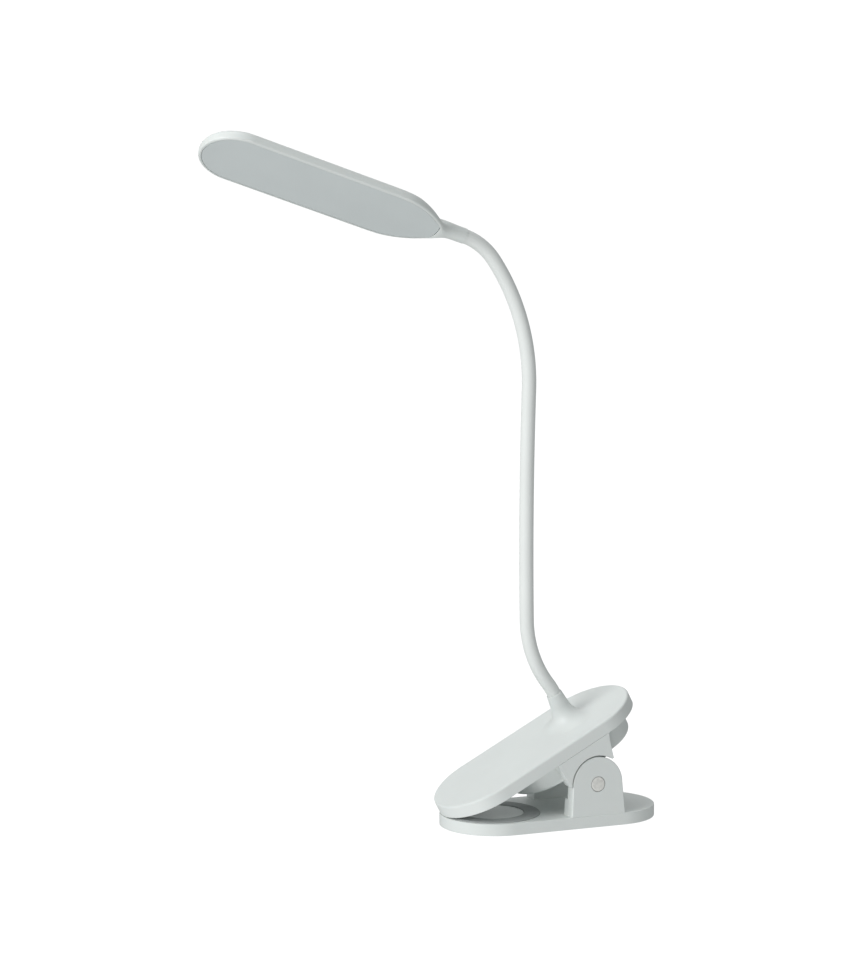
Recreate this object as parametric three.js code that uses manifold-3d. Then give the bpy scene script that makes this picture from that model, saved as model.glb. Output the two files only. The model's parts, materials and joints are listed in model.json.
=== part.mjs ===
// Clip-on reading lamp: a weighted foot with two hinge ears, a sprung upper jaw that holds the battery,
// a flexible neck and a flat lamp head. Millimetres, +Z up, foot centred on the origin and resting on z = 0.
// The mouth of the clip and the head point to -X, and the hinge pin lies along Y.
import * as THREE from 'three';
import { mergeVertices } from 'three/addons/utils/BufferGeometryUtils.js';
import Module from 'manifold-3d';

const wasm = await Module();
wasm.setup();

// ---- Driving dimensions ---------------------------------------------------------------------------

const gap = 0.3;                  // clearance between pieces that touch
const overlap = 0.5;              // how far two joined shapes run into each other
const past = 2;                   // how far a cutter runs past the face that it opens

const plateLength = 134;          // stadium outline shared by the foot and the jaw cover
const plateWidth = 63;
const footHeight = 7.5;           // top of the foot above the surface it stands on
const footLift = 0.5;             // the shell's rim stays clear of the surface
const footWall = 2.2;
const footTop = 1.8;
const padThick = 1.0;             // rubber sheet under the foot
const footCoverThick = 1.2;
const ballastMargin = 4;          // between the ballast and the shell's wall or the screws' pillars
const footScrewFromEnd = 19.5;
const footScrewY = 12.5;

const ringFromSide = 3.2;         // rubber ring let into the foot below the jaw's tip
const ringFromEnd = 2.2;
const ringWidth = 9.2;
const ringDeep = 0.8;
const ringProud = 0.5;

const pinX = 17.4;                // hinge pin
const pinZ = 25.8;
const pinRadius = 2.5;
const pinPlay = 0.12;
const pinHeadRadius = 4.25;
const pinHeadThick = 1.4;
const pinEdge = 0.3;
const earRadius = 16;
const earFlareFront = 0.7;        // the flanks of an ear are this much further out at the foot
const earFlareBack = 2;
const earThick = 7.6;
const earStepTop = 17;            // the ear's root is thicker below this height
const earStepThick = 11.2;

const jawTilt = 27.7;             // degrees between the jaw and the foot at rest
const tipGap = 0.3;               // jaw tip above the foot at rest
const tipInset = 0.2;             // jaw tip behind the foot's end
const coverThick = 7.8;
const coverWall = 2.0;
const coverTop = 2.0;
const coverEdge = 1.4;            // rounded upper edge
const bossX = 10.8;               // neck boss, in the jaw frame
const bossHeight = 19;
const bossFillet = 12;
const bossMouthRadius = 4.75;
const bossFlare = 0.85;           // the boss is this much wider above its fillet

const lidThick = 2.2;             // flat lid that closes the jaw cover
const bumpLength = 81.5;          // battery bulge under the lid
const bumpFromSide = 6.8;
const bumpX = 2.25;
const bumpDeep = 13.5;
const bumpWall = 1.8;
const bumpEdge = 3;
const hoodGap = 0.9;              // arched gap between an ear and the jaw's hood
const hoodFront = 15.6;           // hood's extent in front of the pin, at its lower edge
const hoodFrontLean = 1.2;        // its front leans this far forward at the top
const hoodBack = 18.2;
const hoodBackLean = 1.5;
const hoodNoseWidth = 2.4;        // flat foot of the nose behind the ear
const hoodNoseHeight = 10.5;
const hoodFrontLow = 7.6;         // heights above the pin, in the jaw frame
const hoodBackLow = 8.4;
const cheekThick = 4;
const cheekRadius = 6;
const cheekTopHalf = 14.6;
const jawScrewFromTip = 22;
const jawScrewFromSide = 11.5;
const jawScrewFromTail = 6.4;
const jawScrewTailY = 9;

const batteryLength = 52;
const batteryRoom = 4.9;          // beside the battery, on each side
const batteryThick = 8;
const batteryX = 2;
const boardLength = 44;
const boardWidth = 34;
const boardThick = 1.2;
const boardX = -34;
const boardGap = 0.7;             // board above the lid
const boardCorner = 2;
const keyX = -45.7;               // touch key's electrode
const keyY = 7;
const keyRadius = 4;
const portWidth = 8.9;
const portHeight = 3.2;
const portDeep = 7.3;
const portWall = 0.4;
const portInset = 1;              // socket's mouth behind the bulge's end
const portZ = 17;
const gripLength = 26;            // rubber pad under the jaw's tip
const gripWidth = 26;
const gripX = -56.4;
const gripThick = 1;

const springCoil = 4.4;
const springWire = 0.75;          // wire's radius
const springPitch = 2.2;
const springTurns = 5;
const springFootLeg = 17.8;
const springFootAngle = 236;      // directions of the legs, degrees from +X towards +Z
const springJawLeg = 11.3;
const springJawAngle = 90;
const springSteps = 62;

const screwHead = 1.9;
const screwHeadThick = 0.6;
const screwShank = 0.9;
const screwPoint = 0.5;
const screwCover = 1;             // material left above a screw's hole
const pillarRadius = 3;

const neckRadius = 4.2;           // soft sleeve
const coreRadius = 2.5;           // coiled steel core
const coreBore = 1.3;             // wires run inside the core
const neckArcs = [[7, -11], [42, 37.7], [135, 2.8], [79, -37.3], [23.4, -37.1]]; // [length, degrees turned]
const firstJoint = 22;            // along the neck, from the boss's mouth
const jointSpacing = 44.5;
const jointCount = 6;
const ballGap = 0.5;              // between a link's rounded end and the next link's cup
const neckStep = 9;               // length of each straight stretch of a bent tube
const nutRadius = 6.5;
const nutThick = 2.4;

const headRoll = 23.5;            // degrees about the neck's axis, lit face towards -Y
const headNeckDrop = 4.6;         // lit face below the neck's axis
const headTip = 140.2;            // from the collar's mouth to the centre of the round tip
const headHalf = 22.3;
const headTaper = [[0, 4.5], [10, 4.7], [15, 6], [19, 8.9], [27, 15], [35, 19.2], [43, 21.6], [51, 22.3]];
const headEdgeThick = 6.7;
const headBackThick = 8.6;
const headRearThick = 4.5;        // edge thickness where the head narrows to the collar
const headTopEdge = 3.8;          // rounded edges of the head's section
const headLowEdge = 1.2;
const topEdgeShare = 0.6;         // of the edge's thickness, at most, that each rounded edge takes
const lowEdgeShare = 0.4;
const edgeRise = [18, 40];        // stretches from the collar's mouth over which the edge thickens,
const ridgeSink = [20, 58];       // the ridge sinks into the flat back,
const ridgeSpread = [20, 56];     // the ridge widens to the whole head,
const collarTurn = [10, 20];      // and the round collar turns into the flat section
const ridgeHalf = 7;
const crownShares = [0.8, 0.6, 0.45, 0.3, 0.15, 0];
const headWall = 1.4;
const headSocket = 14;            // depth of the neck's core in the collar
const insertRadius = 3.5;         // brass insert round the core, in the collar
const insertStart = 3;
const rimWidth = 1.9;             // shell between its outer side and the diffuser
const diffuserThick = 1.5;
const diffuserGap = 0.2;
const diffuserEnd = 18.9;         // diffuser's rear edge, from the collar's mouth
const diffuserBow = 1;
const diffuserCorner = 1;
const lampCavityEnd = 50;         // rear end of the hollow behind the diffuser
const lampCavityInset = 3.1;
const wireChannel = 1.5;
const ledBoardInset = 3;
const ledBoardThick = 1.2;
const ledRows = 2;
const ledColumns = 10;
const ledSize = 3;
const ledThick = 0.7;

const rad = THREE.MathUtils.degToRad;

// ---- Solids ---------------------------------------------------------------------------------------

// Closed geometry as a solid with its faces turned outwards, whichever way the outline ran.
function toSolid(geometry) {
  const bare = new THREE.BufferGeometry();
  bare.setAttribute('position', geometry.getAttribute('position'));
  if (geometry.index) bare.setIndex(geometry.index);
  const merged = mergeVertices(bare, 1e-4);
  const place = merged.getAttribute('position');
  const corners = merged.index.array;
  const triangles = [];
  const [p, q, r] = [new THREE.Vector3(), new THREE.Vector3(), new THREE.Vector3()];
  let volume = 0;
  for (let i = 0; i < corners.length; i += 3) {
    const [a, b, c] = [corners[i], corners[i + 1], corners[i + 2]];
    if (a === b || b === c || a === c) continue;
    triangles.push(a, b, c);
    p.fromBufferAttribute(place, a);
    volume += p.dot(q.fromBufferAttribute(place, b).cross(r.fromBufferAttribute(place, c)));
  }
  if (volume < 0) triangles.reverse();
  return new wasm.Manifold(new wasm.Mesh({
    numProp: 3,
    vertProperties: new Float32Array(place.array),
    triVerts: new Uint32Array(triangles),
  }));
}

function toGeometry(solid) {
  const mesh = solid.getMesh();
  const geometry = new THREE.BufferGeometry();
  geometry.setAttribute('position', new THREE.BufferAttribute(new Float32Array(mesh.vertProperties), 3));
  geometry.setIndex(new THREE.BufferAttribute(new Uint32Array(mesh.triVerts), 1));
  return geometry;
}

function join(...geometries) {
  return toGeometry(geometries.map(toSolid).reduce((whole, next) => whole.add(next)));
}

function cut(geometry, ...cutters) {
  return toGeometry(cutters.map(toSolid).reduce((whole, next) => whole.subtract(next), toSolid(geometry)));
}

// ---- Shapes ---------------------------------------------------------------------------------------

function stadium(length, width, centreX = 0) {
  const r = width / 2;
  const half = length / 2 - r;
  const shape = new THREE.Shape();
  shape.absarc(centreX + half, 0, r, -Math.PI / 2, Math.PI / 2);
  shape.absarc(centreX - half, 0, r, Math.PI / 2, 1.5 * Math.PI);
  shape.closePath();
  return shape;
}

function rectangle(x0, y0, x1, y1) {
  const corners = [[x0, y0], [x1, y0], [x1, y1], [x0, y1]];
  return new THREE.Shape(corners.map(([x, y]) => new THREE.Vector2(x, y)));
}

function roundedRectangle(length, width, centreX, r) {
  const [x, y] = [length / 2 - r, width / 2 - r];
  const shape = new THREE.Shape();
  [[x, -y], [x, y], [-x, y], [-x, -y]].forEach(([cx, cy], i) => {
    shape.absarc(centreX + cx, cy, r, (i - 1) * Math.PI / 2, i * Math.PI / 2);
  });
  shape.closePath();
  return shape;
}

// Extrudes an XY outline from z0 to z1.
function slab(shape, z0, z1, curveSegments = 8) {
  const geometry = new THREE.ExtrudeGeometry(shape, { depth: z1 - z0, bevelEnabled: false, curveSegments });
  return geometry.translate(0, 0, z0);
}

// Extrudes an outline drawn in XZ from y0 to y1.
function slabAlongY(shape, y0, y1, curveSegments = 8) {
  return slab(shape, -y1, -y0, curveSegments).rotateX(Math.PI / 2);
}

function block(x0, x1, y0, y1, z0, z1) {
  return slab(rectangle(x0, y0, x1, y1), z0, z1);
}

function rod(radius, z0, z1, x = 0, y = 0, sides = 16) {
  const geometry = new THREE.CylinderGeometry(radius, radius, z1 - z0, sides).rotateX(Math.PI / 2);
  return geometry.translate(x, y, (z0 + z1) / 2);
}

function rodAlongY(radius, y0, y1, x = 0, z = 0, sides = 24) {
  return new THREE.CylinderGeometry(radius, radius, y1 - y0, sides).translate(x, (y0 + y1) / 2, z);
}

function ball(radius, centre, sides = 12) {
  return new THREE.SphereGeometry(radius, sides, sides / 2).translate(centre.x, centre.y, centre.z);
}

function lathe(profile, sides = 24) {
  const points = profile.map(([r, z]) => new THREE.Vector2(r, z));
  return join(new THREE.LatheGeometry(points, sides)).rotateX(Math.PI / 2);
}

// Round bar along a curve; a bore makes it a tube.
function sweepAlong(curve, radius, steps, curveSegments, bore = 0) {
  const section = new THREE.Shape();
  section.absarc(0, 0, radius, 0, 2 * Math.PI);
  if (bore > 0) section.holes.push(new THREE.Path().absarc(0, 0, bore, 0, 2 * Math.PI));
  return join(new THREE.ExtrudeGeometry(section, { steps, extrudePath: curve, curveSegments }));
}

function arc(centreA, centreB, radius, from, to, steps) {
  return Array.from({ length: steps + 1 }, (_, i) => {
    const angle = rad(from + (to - from) * i / steps);
    return [centreA + radius * Math.cos(angle), centreB + radius * Math.sin(angle)];
  });
}

// Closed skin over ribs. Each rib is a list of points from the middle of the underside, round the edge,
// to the middle of the top, and the ribs go once round the outline.
function skin(ribs) {
  const rows = ribs[0].length;
  const positions = ribs.flat(2);
  const index = [];
  for (let i = 0; i < ribs.length; i += 1) {
    const j = (i + 1) % ribs.length;
    for (let k = 0; k < rows - 1; k += 1) {
      const [a, b, c, d] = [i * rows + k, j * rows + k, j * rows + k + 1, i * rows + k + 1];
      index.push(a, b, c, a, c, d);
    }
  }
  const geometry = new THREE.BufferGeometry();
  geometry.setAttribute('position', new THREE.Float32BufferAttribute(positions, 3));
  geometry.setIndex(index);
  return join(geometry);
}

// Stadium slab whose edges follow a profile of [distance inside the outline, height] from below to above.
function stadiumSkin(length, width, centreX, profile, arcSteps = 12) {
  const r = width / 2;
  const half = length / 2 - r;
  const ribs = [];
  for (const side of [1, -1]) {
    for (let i = 0; i <= arcSteps; i += 1) {
      const angle = rad(90 * (1 - side) - 90 + 180 * i / arcSteps);
      const middle = centreX + side * half;
      const [cx, cy] = [Math.cos(angle), Math.sin(angle)];
      const edge = profile.map(([inside, z]) => [middle + (r - inside) * cx, (r - inside) * cy, z]);
      ribs.push([[middle, 0, profile[0][1]], ...edge, [middle, 0, profile.at(-1)[1]]]);
    }
  }
  return skin(ribs);
}

// ---- Materials ------------------------------------------------------------------------------------

const material = (color, roughness, metalness = 0) => () => (
  new THREE.MeshStandardMaterial({ color, roughness, metalness }));
const whiteShell = material(0xe6ebe8, 0.45);
const whiteSleeve = material(0xe9eeeb, 0.6);
const frosted = material(0xc4cccb, 0.5);
const greyRubber = material(0x73797a, 0.85);
const steel = material(0xc9c9c2, 0.35, 1);
const darkSteel = material(0x7d8083, 0.45, 1);
const boardGreen = material(0x2f5d46, 0.6);
const boardWhite = material(0xe8eae6, 0.5);
const foilBlue = material(0x4c6f93, 0.5);
const brass = material(0xb79a55, 0.4, 1);

function add(group, name, geometry, makeMaterial) {
  const mesh = new THREE.Mesh(geometry, makeMaterial());
  mesh.name = name;
  group.add(mesh);
  return mesh;
}

// ---- Foot -----------------------------------------------------------------------------------------

const halfWidth = plateWidth / 2;
const ringOuter = halfWidth - ringFromSide;
const ringInner = ringOuter - ringWidth;
const ringX = ringOuter + ringFromEnd - plateLength / 2;
const footScrewX = plateLength / 2 - footScrewFromEnd;
const footCornersX = [footScrewX, -footScrewX];
const footScrews = footCornersX.flatMap((x) => [[x, footScrewY], [x, -footScrewY]]);
const padTop = padThick;
const footCoverBase = padTop + gap;
const footCoverTop = footCoverBase + footCoverThick;
const footHoleTop = footHeight - screwCover;
const screwSeat = screwHeadThick + gap;

const between = (a, b) => [Math.min(a, b), Math.max(a, b)];

function earShape(top) {
  const foot = footHeight - overlap;
  const shape = new THREE.Shape();
  shape.moveTo(pinX + earRadius + earFlareBack, foot);
  if (top === undefined) {
    shape.absarc(pinX, pinZ, earRadius, 0, Math.PI);
  } else {
    const share = (pinZ - top) / (pinZ - footHeight);
    shape.lineTo(pinX + earRadius + earFlareBack * share, top);
    shape.lineTo(pinX - earRadius - earFlareFront * share, top);
  }
  shape.lineTo(pinX - earRadius - earFlareFront, foot);
  shape.closePath();
  return shape;
}

function footShell() {
  const outer = slab(stadium(plateLength, plateWidth), footLift, footHeight, 12);
  const ears = [1, -1].flatMap((side) => [[earShape(), earThick], [earShape(earStepTop), earStepThick]]
    .map(([shape, thick]) => {
      const ends = between(side * halfWidth, side * (halfWidth - thick));
      return slabAlongY(shape, ...ends, 8);
    }));
  const inside = stadium(plateLength - 2 * footWall, plateWidth - 2 * footWall);
  const hollow = slab(inside, footLift - past, footHeight - footTop);
  const ringSeat = cut(
    rod(ringOuter + gap, footHeight - ringDeep - gap, footHeight + past, ringX, 0, 36),
    rod(ringInner - gap, footHeight - ringDeep - past, footHeight + 2 * past, ringX, 0, 36),
  );
  const pinHole = rodAlongY(pinRadius + pinPlay, -halfWidth - past, halfWidth + past, pinX, pinZ);
  const headSeats = [1, -1].map((side) => {
    const ends = between(side * (halfWidth - pinHeadThick - gap), side * (halfWidth + past));
    return rodAlongY(pinHeadRadius + gap, ...ends, pinX, pinZ);
  });
  const shell = cut(join(outer, ...ears), hollow, ringSeat, pinHole, ...headSeats);
  const pillarBase = footCoverTop + gap;
  const pillarTop = footHeight - footTop + overlap;
  const pillars = footScrews.map(([x, y]) => rod(pillarRadius, pillarBase, pillarTop, x, y));
  const holes = footScrews.map(([x, y]) => rod(screwShank + gap, 0, footHoleTop, x, y, 8));
  return cut(join(shell, ...pillars), ...holes);
}

function footCover() {
  const inset = 2 * (footWall + gap);
  const cover = slab(stadium(plateLength - inset, plateWidth - inset), footCoverBase, footCoverTop);
  const holes = footScrews.flatMap(([x, y]) => [
    rod(screwShank + gap, 0, footHeight, x, y, 8),
    rod(screwHead + gap, 0, footCoverBase + screwSeat, x, y, 8),
  ]);
  return cut(cover, ...holes);
}

// Head below, point above.
function screw(x, y, base, tip) {
  const length = tip - base;
  const profile = [[0, 0], [screwHead, 0], [screwHead, screwHeadThick / 2], [screwShank, screwHeadThick],
    [screwShank, length - screwPoint], [0, length]];
  return lathe(profile, 10).translate(x, y, base);
}

// Head on the near side; the far end stops below the cap.
function hingePin() {
  const near = -halfWidth;
  const far = halfWidth - pinHeadThick - 2 * gap;
  const profile = [[0, near], [pinHeadRadius - pinEdge, near], [pinHeadRadius, near + pinEdge],
    [pinHeadRadius, near + pinHeadThick], [pinRadius, near + pinHeadThick], [pinRadius, far], [0, far]];
  return lathe(profile).rotateX(-Math.PI / 2).translate(pinX, 0, pinZ);
}

function hingePinCap() {
  return rodAlongY(pinHeadRadius, halfWidth - pinHeadThick, halfWidth, pinX, pinZ);
}

// Coil round the pin, with one leg down to the foot and one up to the jaw's underside.
function hingeSpring() {
  const from = springFootAngle + 90;
  const lastTurn = THREE.MathUtils.euclideanModulo(springJawAngle - springFootAngle - 180, 360);
  const sweep = 360 * springTurns + lastTurn;
  const count = Math.round(sweep / 36);
  const length = springPitch * sweep / 360;
  const onCoil = (part) => {
    const angle = rad(from + sweep * part);
    const y = length * (part - 0.5);
    return new THREE.Vector3(pinX + springCoil * Math.cos(angle), y, pinZ + springCoil * Math.sin(angle));
  };
  const leg = (part, reach, angle) => (
    onCoil(part).add(new THREE.Vector3(Math.cos(rad(angle)), 0, Math.sin(rad(angle))).multiplyScalar(reach)));
  const footLeg = [1, 0.5].map((share) => leg(0, share * springFootLeg, springFootAngle));
  const coil = Array.from({ length: count + 1 }, (_, i) => onCoil(i / count));
  const jawLeg = [0.5, 1].map((share) => leg(1, share * springJawLeg, springJawAngle));
  const wire = new THREE.CatmullRomCurve3([...footLeg, ...coil, ...jawLeg]);
  return sweepAlong(wire, springWire, springSteps, 3);
}

function buildFoot() {
  const foot = new THREE.Group();
  add(foot, 'foot_shell', footShell(), whiteShell);
  add(foot, 'foot_cover', footCover(), whiteShell);
  const ballastBase = footCoverTop + gap;
  const ballastTop = footHeight - footTop - gap;
  const ballastEnd = footScrewX - pillarRadius - ballastMargin;
  const ballastSide = halfWidth - footWall - ballastMargin;
  const ballast = block(-ballastEnd, ballastEnd, -ballastSide, ballastSide, ballastBase, ballastTop);
  add(foot, 'foot_ballast', ballast, darkSteel);
  const padInset = 2 * (footWall + gap);
  add(foot, 'foot_pad', slab(stadium(plateLength - padInset, plateWidth - padInset), 0, padTop), greyRubber);
  footScrews.forEach(([x, y], i) => {
    add(foot, `foot_screw_${i + 1}`, screw(x, y, footCoverBase, footHoleTop - 2 * gap), steel);
  });
  const ringBase = footHeight - ringDeep;
  const ring = cut(
    rod(ringOuter, ringBase, footHeight + ringProud, ringX, 0, 36),
    rod(ringInner, ringBase - past, footHeight + past, ringX, 0, 36),
  );
  add(foot, 'foot_grip_ring', ring, greyRubber);
  add(foot, 'hinge_pin', hingePin(), steel);
  add(foot, 'hinge_pin_cap', hingePinCap(), steel);
  add(foot, 'hinge_spring', hingeSpring(), darkSteel);
  return foot;
}

// ---- Jaw, in a frame turned about the pin -----------------------------------------------------------

const tiltSin = Math.sin(rad(jawTilt));
const tiltCos = Math.cos(rad(jawTilt));
const tipRise = footHeight + tipGap - pinZ;
// Along the jaw, from the pin to the tip.
const tipReach = tiltCos * (pinX + plateLength / 2 - tipInset) - tiltSin * tipRise;
const coverCentreX = plateLength / 2 - tipReach;
const coverUnder = (tipRise + tiltSin * tipReach) / tiltCos;
const coverUpper = coverUnder + coverThick;
const coverRoof = coverUpper - coverTop;
const lidUpper = coverUnder + lidThick;
const bumpUnder = coverUnder - bumpDeep;
const bumpWidth = plateWidth - 2 * bumpFromSide;
const batteryWidth = bumpWidth - 2 * (bumpWall + batteryRoom);
const bossMouth = coverUpper + bossHeight;
const jawHoleTop = coverUpper - screwCover;
const jawScrewTip = [jawScrewFromTip - tipReach, halfWidth - jawScrewFromSide];
const jawScrewTail = [plateLength - tipReach - jawScrewFromTail, jawScrewTailY];
const jawScrews = [jawScrewTip, jawScrewTail].flatMap(([x, y]) => [[x, y], [x, -y]]);

const jawPoint = (x, z) => new THREE.Vector3(
  pinX + x * tiltCos - z * tiltSin, 0, pinZ + x * tiltSin + z * tiltCos);

function jawCover() {
  const topEdge = arc(coverEdge, coverUpper - coverEdge, coverEdge, 180, 90, 3);
  const skinProfile = [[0, coverUnder], ...topEdge];
  const cover = stadiumSkin(plateLength, plateWidth, coverCentreX, skinProfile);
  const inside = stadium(plateLength - 2 * coverWall, plateWidth - 2 * coverWall, coverCentreX);
  const hollow = slab(inside, coverUnder - past, coverRoof);
  const bossRadius = bossMouthRadius + bossFlare;
  const runOut = bossRadius + bossFillet;
  const root = coverUpper - coverTop / 2;
  const boss = lathe([[0, root], [runOut, root],
    ...arc(runOut, coverUpper + bossFillet, bossFillet, 270, 180, 6), [bossMouthRadius, bossMouth - overlap],
    [bossMouthRadius - overlap / 2, bossMouth], [0, bossMouth]], 28).translate(bossX, 0, 0);
  const bore = rod(coreRadius + gap, coverUnder, bossMouth + past, bossX);
  const pillars = jawScrews.map(([x, y]) => rod(pillarRadius, lidUpper + gap, coverRoof + overlap, x, y));
  const holes = jawScrews.map(([x, y]) => rod(screwShank + gap, coverUnder, jawHoleTop, x, y, 8));
  return cut(join(cut(cover, hollow), boss, ...pillars), bore, ...holes);
}

function hoodShape() {
  const top = coverUnder - gap;
  const outline = [[-hoodFront - hoodFrontLean, top], [-hoodFront, hoodFrontLow],
    [hoodBack - hoodNoseWidth, hoodBackLow], [hoodBack, hoodBackLow + hoodNoseHeight],
    [hoodBack + hoodBackLean, top]];
  return new THREE.Shape(outline.map(([x, z]) => new THREE.Vector2(x, z)));
}

function cheekShape() {
  const top = bumpUnder + bumpEdge + overlap;
  const shape = new THREE.Shape();
  shape.absarc(0, 0, cheekRadius, Math.PI, 2 * Math.PI);
  shape.lineTo(cheekTopHalf, top);
  shape.lineTo(-cheekTopHalf, top);
  shape.closePath();
  return shape;
}

function jawCase() {
  const inset = 2 * (coverWall + gap);
  const lid = slab(stadium(plateLength - inset, plateWidth - inset, coverCentreX), coverUnder, lidUpper);
  const lowEdge = arc(bumpEdge, bumpUnder + bumpEdge, bumpEdge, 270, 180, 3);
  const bump = stadiumSkin(bumpLength, bumpWidth, bumpX, [...lowEdge, [0, coverUnder + overlap]]);
  const room = stadium(bumpLength - 2 * bumpWall, bumpWidth - 2 * bumpWall, bumpX);
  const hollow = slab(room, bumpUnder + bumpWall, lidUpper + past);
  const slotInner = halfWidth - earThick - gap;
  const lidSide = plateWidth / 2 - coverWall - gap;
  const sides = [];
  const cutters = [];
  for (const side of [1, -1]) {
    const hoodEnds = between(side * (slotInner - overlap), side * halfWidth);
    sides.push(slabAlongY(hoodShape(), ...hoodEnds));
    const tieEnds = between(side * (slotInner - overlap), side * lidSide);
    sides.push(block(-hoodFront, hoodBack, ...tieEnds, coverUnder - gap - overlap, coverUnder + overlap));
    sides.push(slabAlongY(cheekShape(), ...between(side * (slotInner - cheekThick), side * slotInner)));
    const slotEnds = between(side * slotInner, side * (halfWidth + past));
    cutters.push(rodAlongY(earRadius + hoodGap, ...slotEnds, 0, 0, 48));
  }
  cutters.push(rodAlongY(pinRadius + pinPlay, -halfWidth, halfWidth));
  jawScrews.forEach(([x, y]) => {
    cutters.push(rod(screwShank + gap, coverUnder - past, lidUpper + past, x, y, 8));
    cutters.push(rod(screwHead + gap, coverUnder - past, coverUnder + screwSeat, x, y, 8));
  });
  const portEnds = [portMouth - portDeep - gap, portMouth + past];
  cutters.push(portBlock(portWidth + 2 * gap, portHeight + 2 * gap, ...portEnds));
  return cut(join(cut(join(lid, bump), hollow), ...sides), ...cutters);
}

// Round-ended bar along the jaw frame's X, for the charging socket and its opening.
const portMouth = bumpX + bumpLength / 2 - portInset;

function portBlock(width, height, x0, x1) {
  const bar = slab(stadium(width, height), x0, x1, 6).rotateZ(Math.PI / 2).rotateY(Math.PI / 2);
  return bar.translate(0, 0, portZ);
}

function chargePort() {
  const wall = portWall;
  const back = portMouth - portDeep;
  const can = cut(
    portBlock(portWidth, portHeight, back, portMouth),
    portBlock(portWidth - 2 * wall, portHeight - 2 * wall, back + 2 * wall, portMouth + past),
  );
  const tongueHalf = portWidth / 3;
  const tongueTip = portMouth - portInset;
  const tongue = block(back + wall, tongueTip, -tongueHalf, tongueHalf, portZ - wall, portZ + wall);
  return join(can, tongue);
}

function buildJaw() {
  const jaw = new THREE.Group();
  jaw.position.set(pinX, 0, pinZ);
  jaw.rotation.y = -rad(jawTilt);
  add(jaw, 'jaw_cover', jawCover(), whiteShell);
  add(jaw, 'jaw_case', jawCase(), whiteShell);
  const gripTop = coverUnder - gap;
  const grip = slab(stadium(gripLength, gripWidth, gripX), gripTop - gripThick, gripTop);
  add(jaw, 'jaw_grip_pad', grip, greyRubber);
  const cellBase = bumpUnder + bumpWall + gap;
  const cellShape = roundedRectangle(batteryLength, batteryWidth, batteryX, boardCorner);
  const cell = slab(cellShape, cellBase, cellBase + batteryThick, 3);
  add(jaw, 'battery', cell, foilBlue);
  const boardBase = lidUpper + boardGap;
  const boardShape = roundedRectangle(boardLength, boardWidth, boardX, boardCorner);
  const board = slab(boardShape, boardBase, boardBase + boardThick, 3);
  add(jaw, 'main_board', board, boardGreen);
  const keyBase = boardBase + boardThick + gap;
  add(jaw, 'touch_electrode', rod(keyRadius, keyBase, coverRoof - gap, keyX, keyY), brass);
  add(jaw, 'charge_port', chargePort(), steel);
  jawScrews.forEach(([x, y], i) => {
    add(jaw, `jaw_screw_${i + 1}`, screw(x, y, coverUnder, jawHoleTop - 2 * gap), steel);
  });
  const nutTop = coverRoof - gap;
  const nut = cut(
    rod(nutRadius, nutTop - nutThick, nutTop, bossX, 0, 6),
    rod(coreRadius + gap, nutTop - nutThick - past, nutTop + past, bossX),
  );
  add(jaw, 'neck_nut', nut, brass);
  return jaw;
}

// ---- Neck, built along its route in the plane y = 0 ---------------------------------------------------

const neckLength = neckArcs.reduce((sum, [length]) => sum + length, 0);
const neckMouth = jawPoint(bossX, bossMouth);
const jointAt = (i) => firstJoint + i * jointSpacing;

// Point and heading (degrees from +Z towards +X) at a distance from the boss's mouth.
function neckAt(distance) {
  const place = neckMouth.clone();
  let heading = -jawTilt;
  const advance = (length, turn) => {
    const half = rad(turn) / 2;
    const chord = half === 0 ? length : length * Math.sin(half) / half;
    place.x += chord * Math.sin(rad(heading) + half);
    place.z += chord * Math.cos(rad(heading) + half);
    heading += turn;
  };
  if (distance < 0) advance(distance, 0);
  let left = Math.max(distance, 0);
  for (const [length, turn] of neckArcs) {
    const part = Math.min(left, length);
    if (part > 0) advance(part, turn * part / length);
    left -= part;
  }
  if (left > 0) advance(left, 0);
  return { place, heading };
}

class NeckSpan extends THREE.Curve {
  constructor(from, to) {
    super();
    this.from = from;
    this.to = to;
  }

  getPoint(t, target = new THREE.Vector3()) {
    return target.copy(neckAt(this.from + (this.to - this.from) * t).place);
  }
}

const spanSteps = (from, to) => Math.ceil((to - from) / neckStep);

// Each link ends in a ball centred on its joint, and the next link starts with a cup round that ball.
function neckSleeve(i) {
  const [first, last] = [i === 0, i === jointCount];
  const from = first ? gap : jointAt(i - 1);
  const to = last ? neckLength - gap : jointAt(i);
  const steps = spanSteps(from, to);
  const tube = sweepAlong(new NeckSpan(from, to), neckRadius, steps, 6);
  const body = last ? tube : join(tube, ball(neckRadius, neckAt(to).place));
  const bore = sweepAlong(new NeckSpan(from - past, last ? to + past : to + gap), coreRadius + gap, steps, 6);
  const cup = first ? [] : [ball(neckRadius + ballGap, neckAt(from).place)];
  return cut(body, bore, ...cup);
}

function neckCore(i) {
  const nutUnder = coverRoof - gap - nutThick;
  const from = i === 0 ? nutUnder - bossMouth : jointAt(i - 1) + neckRadius + 2 * ballGap;
  const to = i === jointCount ? neckLength + headSocket : jointAt(i);
  return sweepAlong(new NeckSpan(from, to), coreRadius, spanSteps(from, to), 4, coreBore);
}

function buildNeck() {
  const neck = new THREE.Group();
  for (let i = 0; i <= jointCount; i += 1) {
    add(neck, `neck_sleeve_${i + 1}`, neckSleeve(i), whiteSleeve);
    add(neck, `neck_core_${i + 1}`, neckCore(i), darkSteel);
  }
  return neck;
}

// ---- Head, in a frame with X along the head, Z out of its back and the collar's mouth at the origin ----

const lit = -headNeckDrop;
const collarRadius = headTaper[0][1];
const taper = new THREE.SplineCurve(headTaper.map(([x, half]) => new THREE.Vector2(x, half))).getPoints(16);
const cavityTop = lit + headEdgeThick - headWall;

const blendOver = (x, from, to, low, high) => low + (high - low) * THREE.MathUtils.smoothstep(x, from, to);

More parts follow.
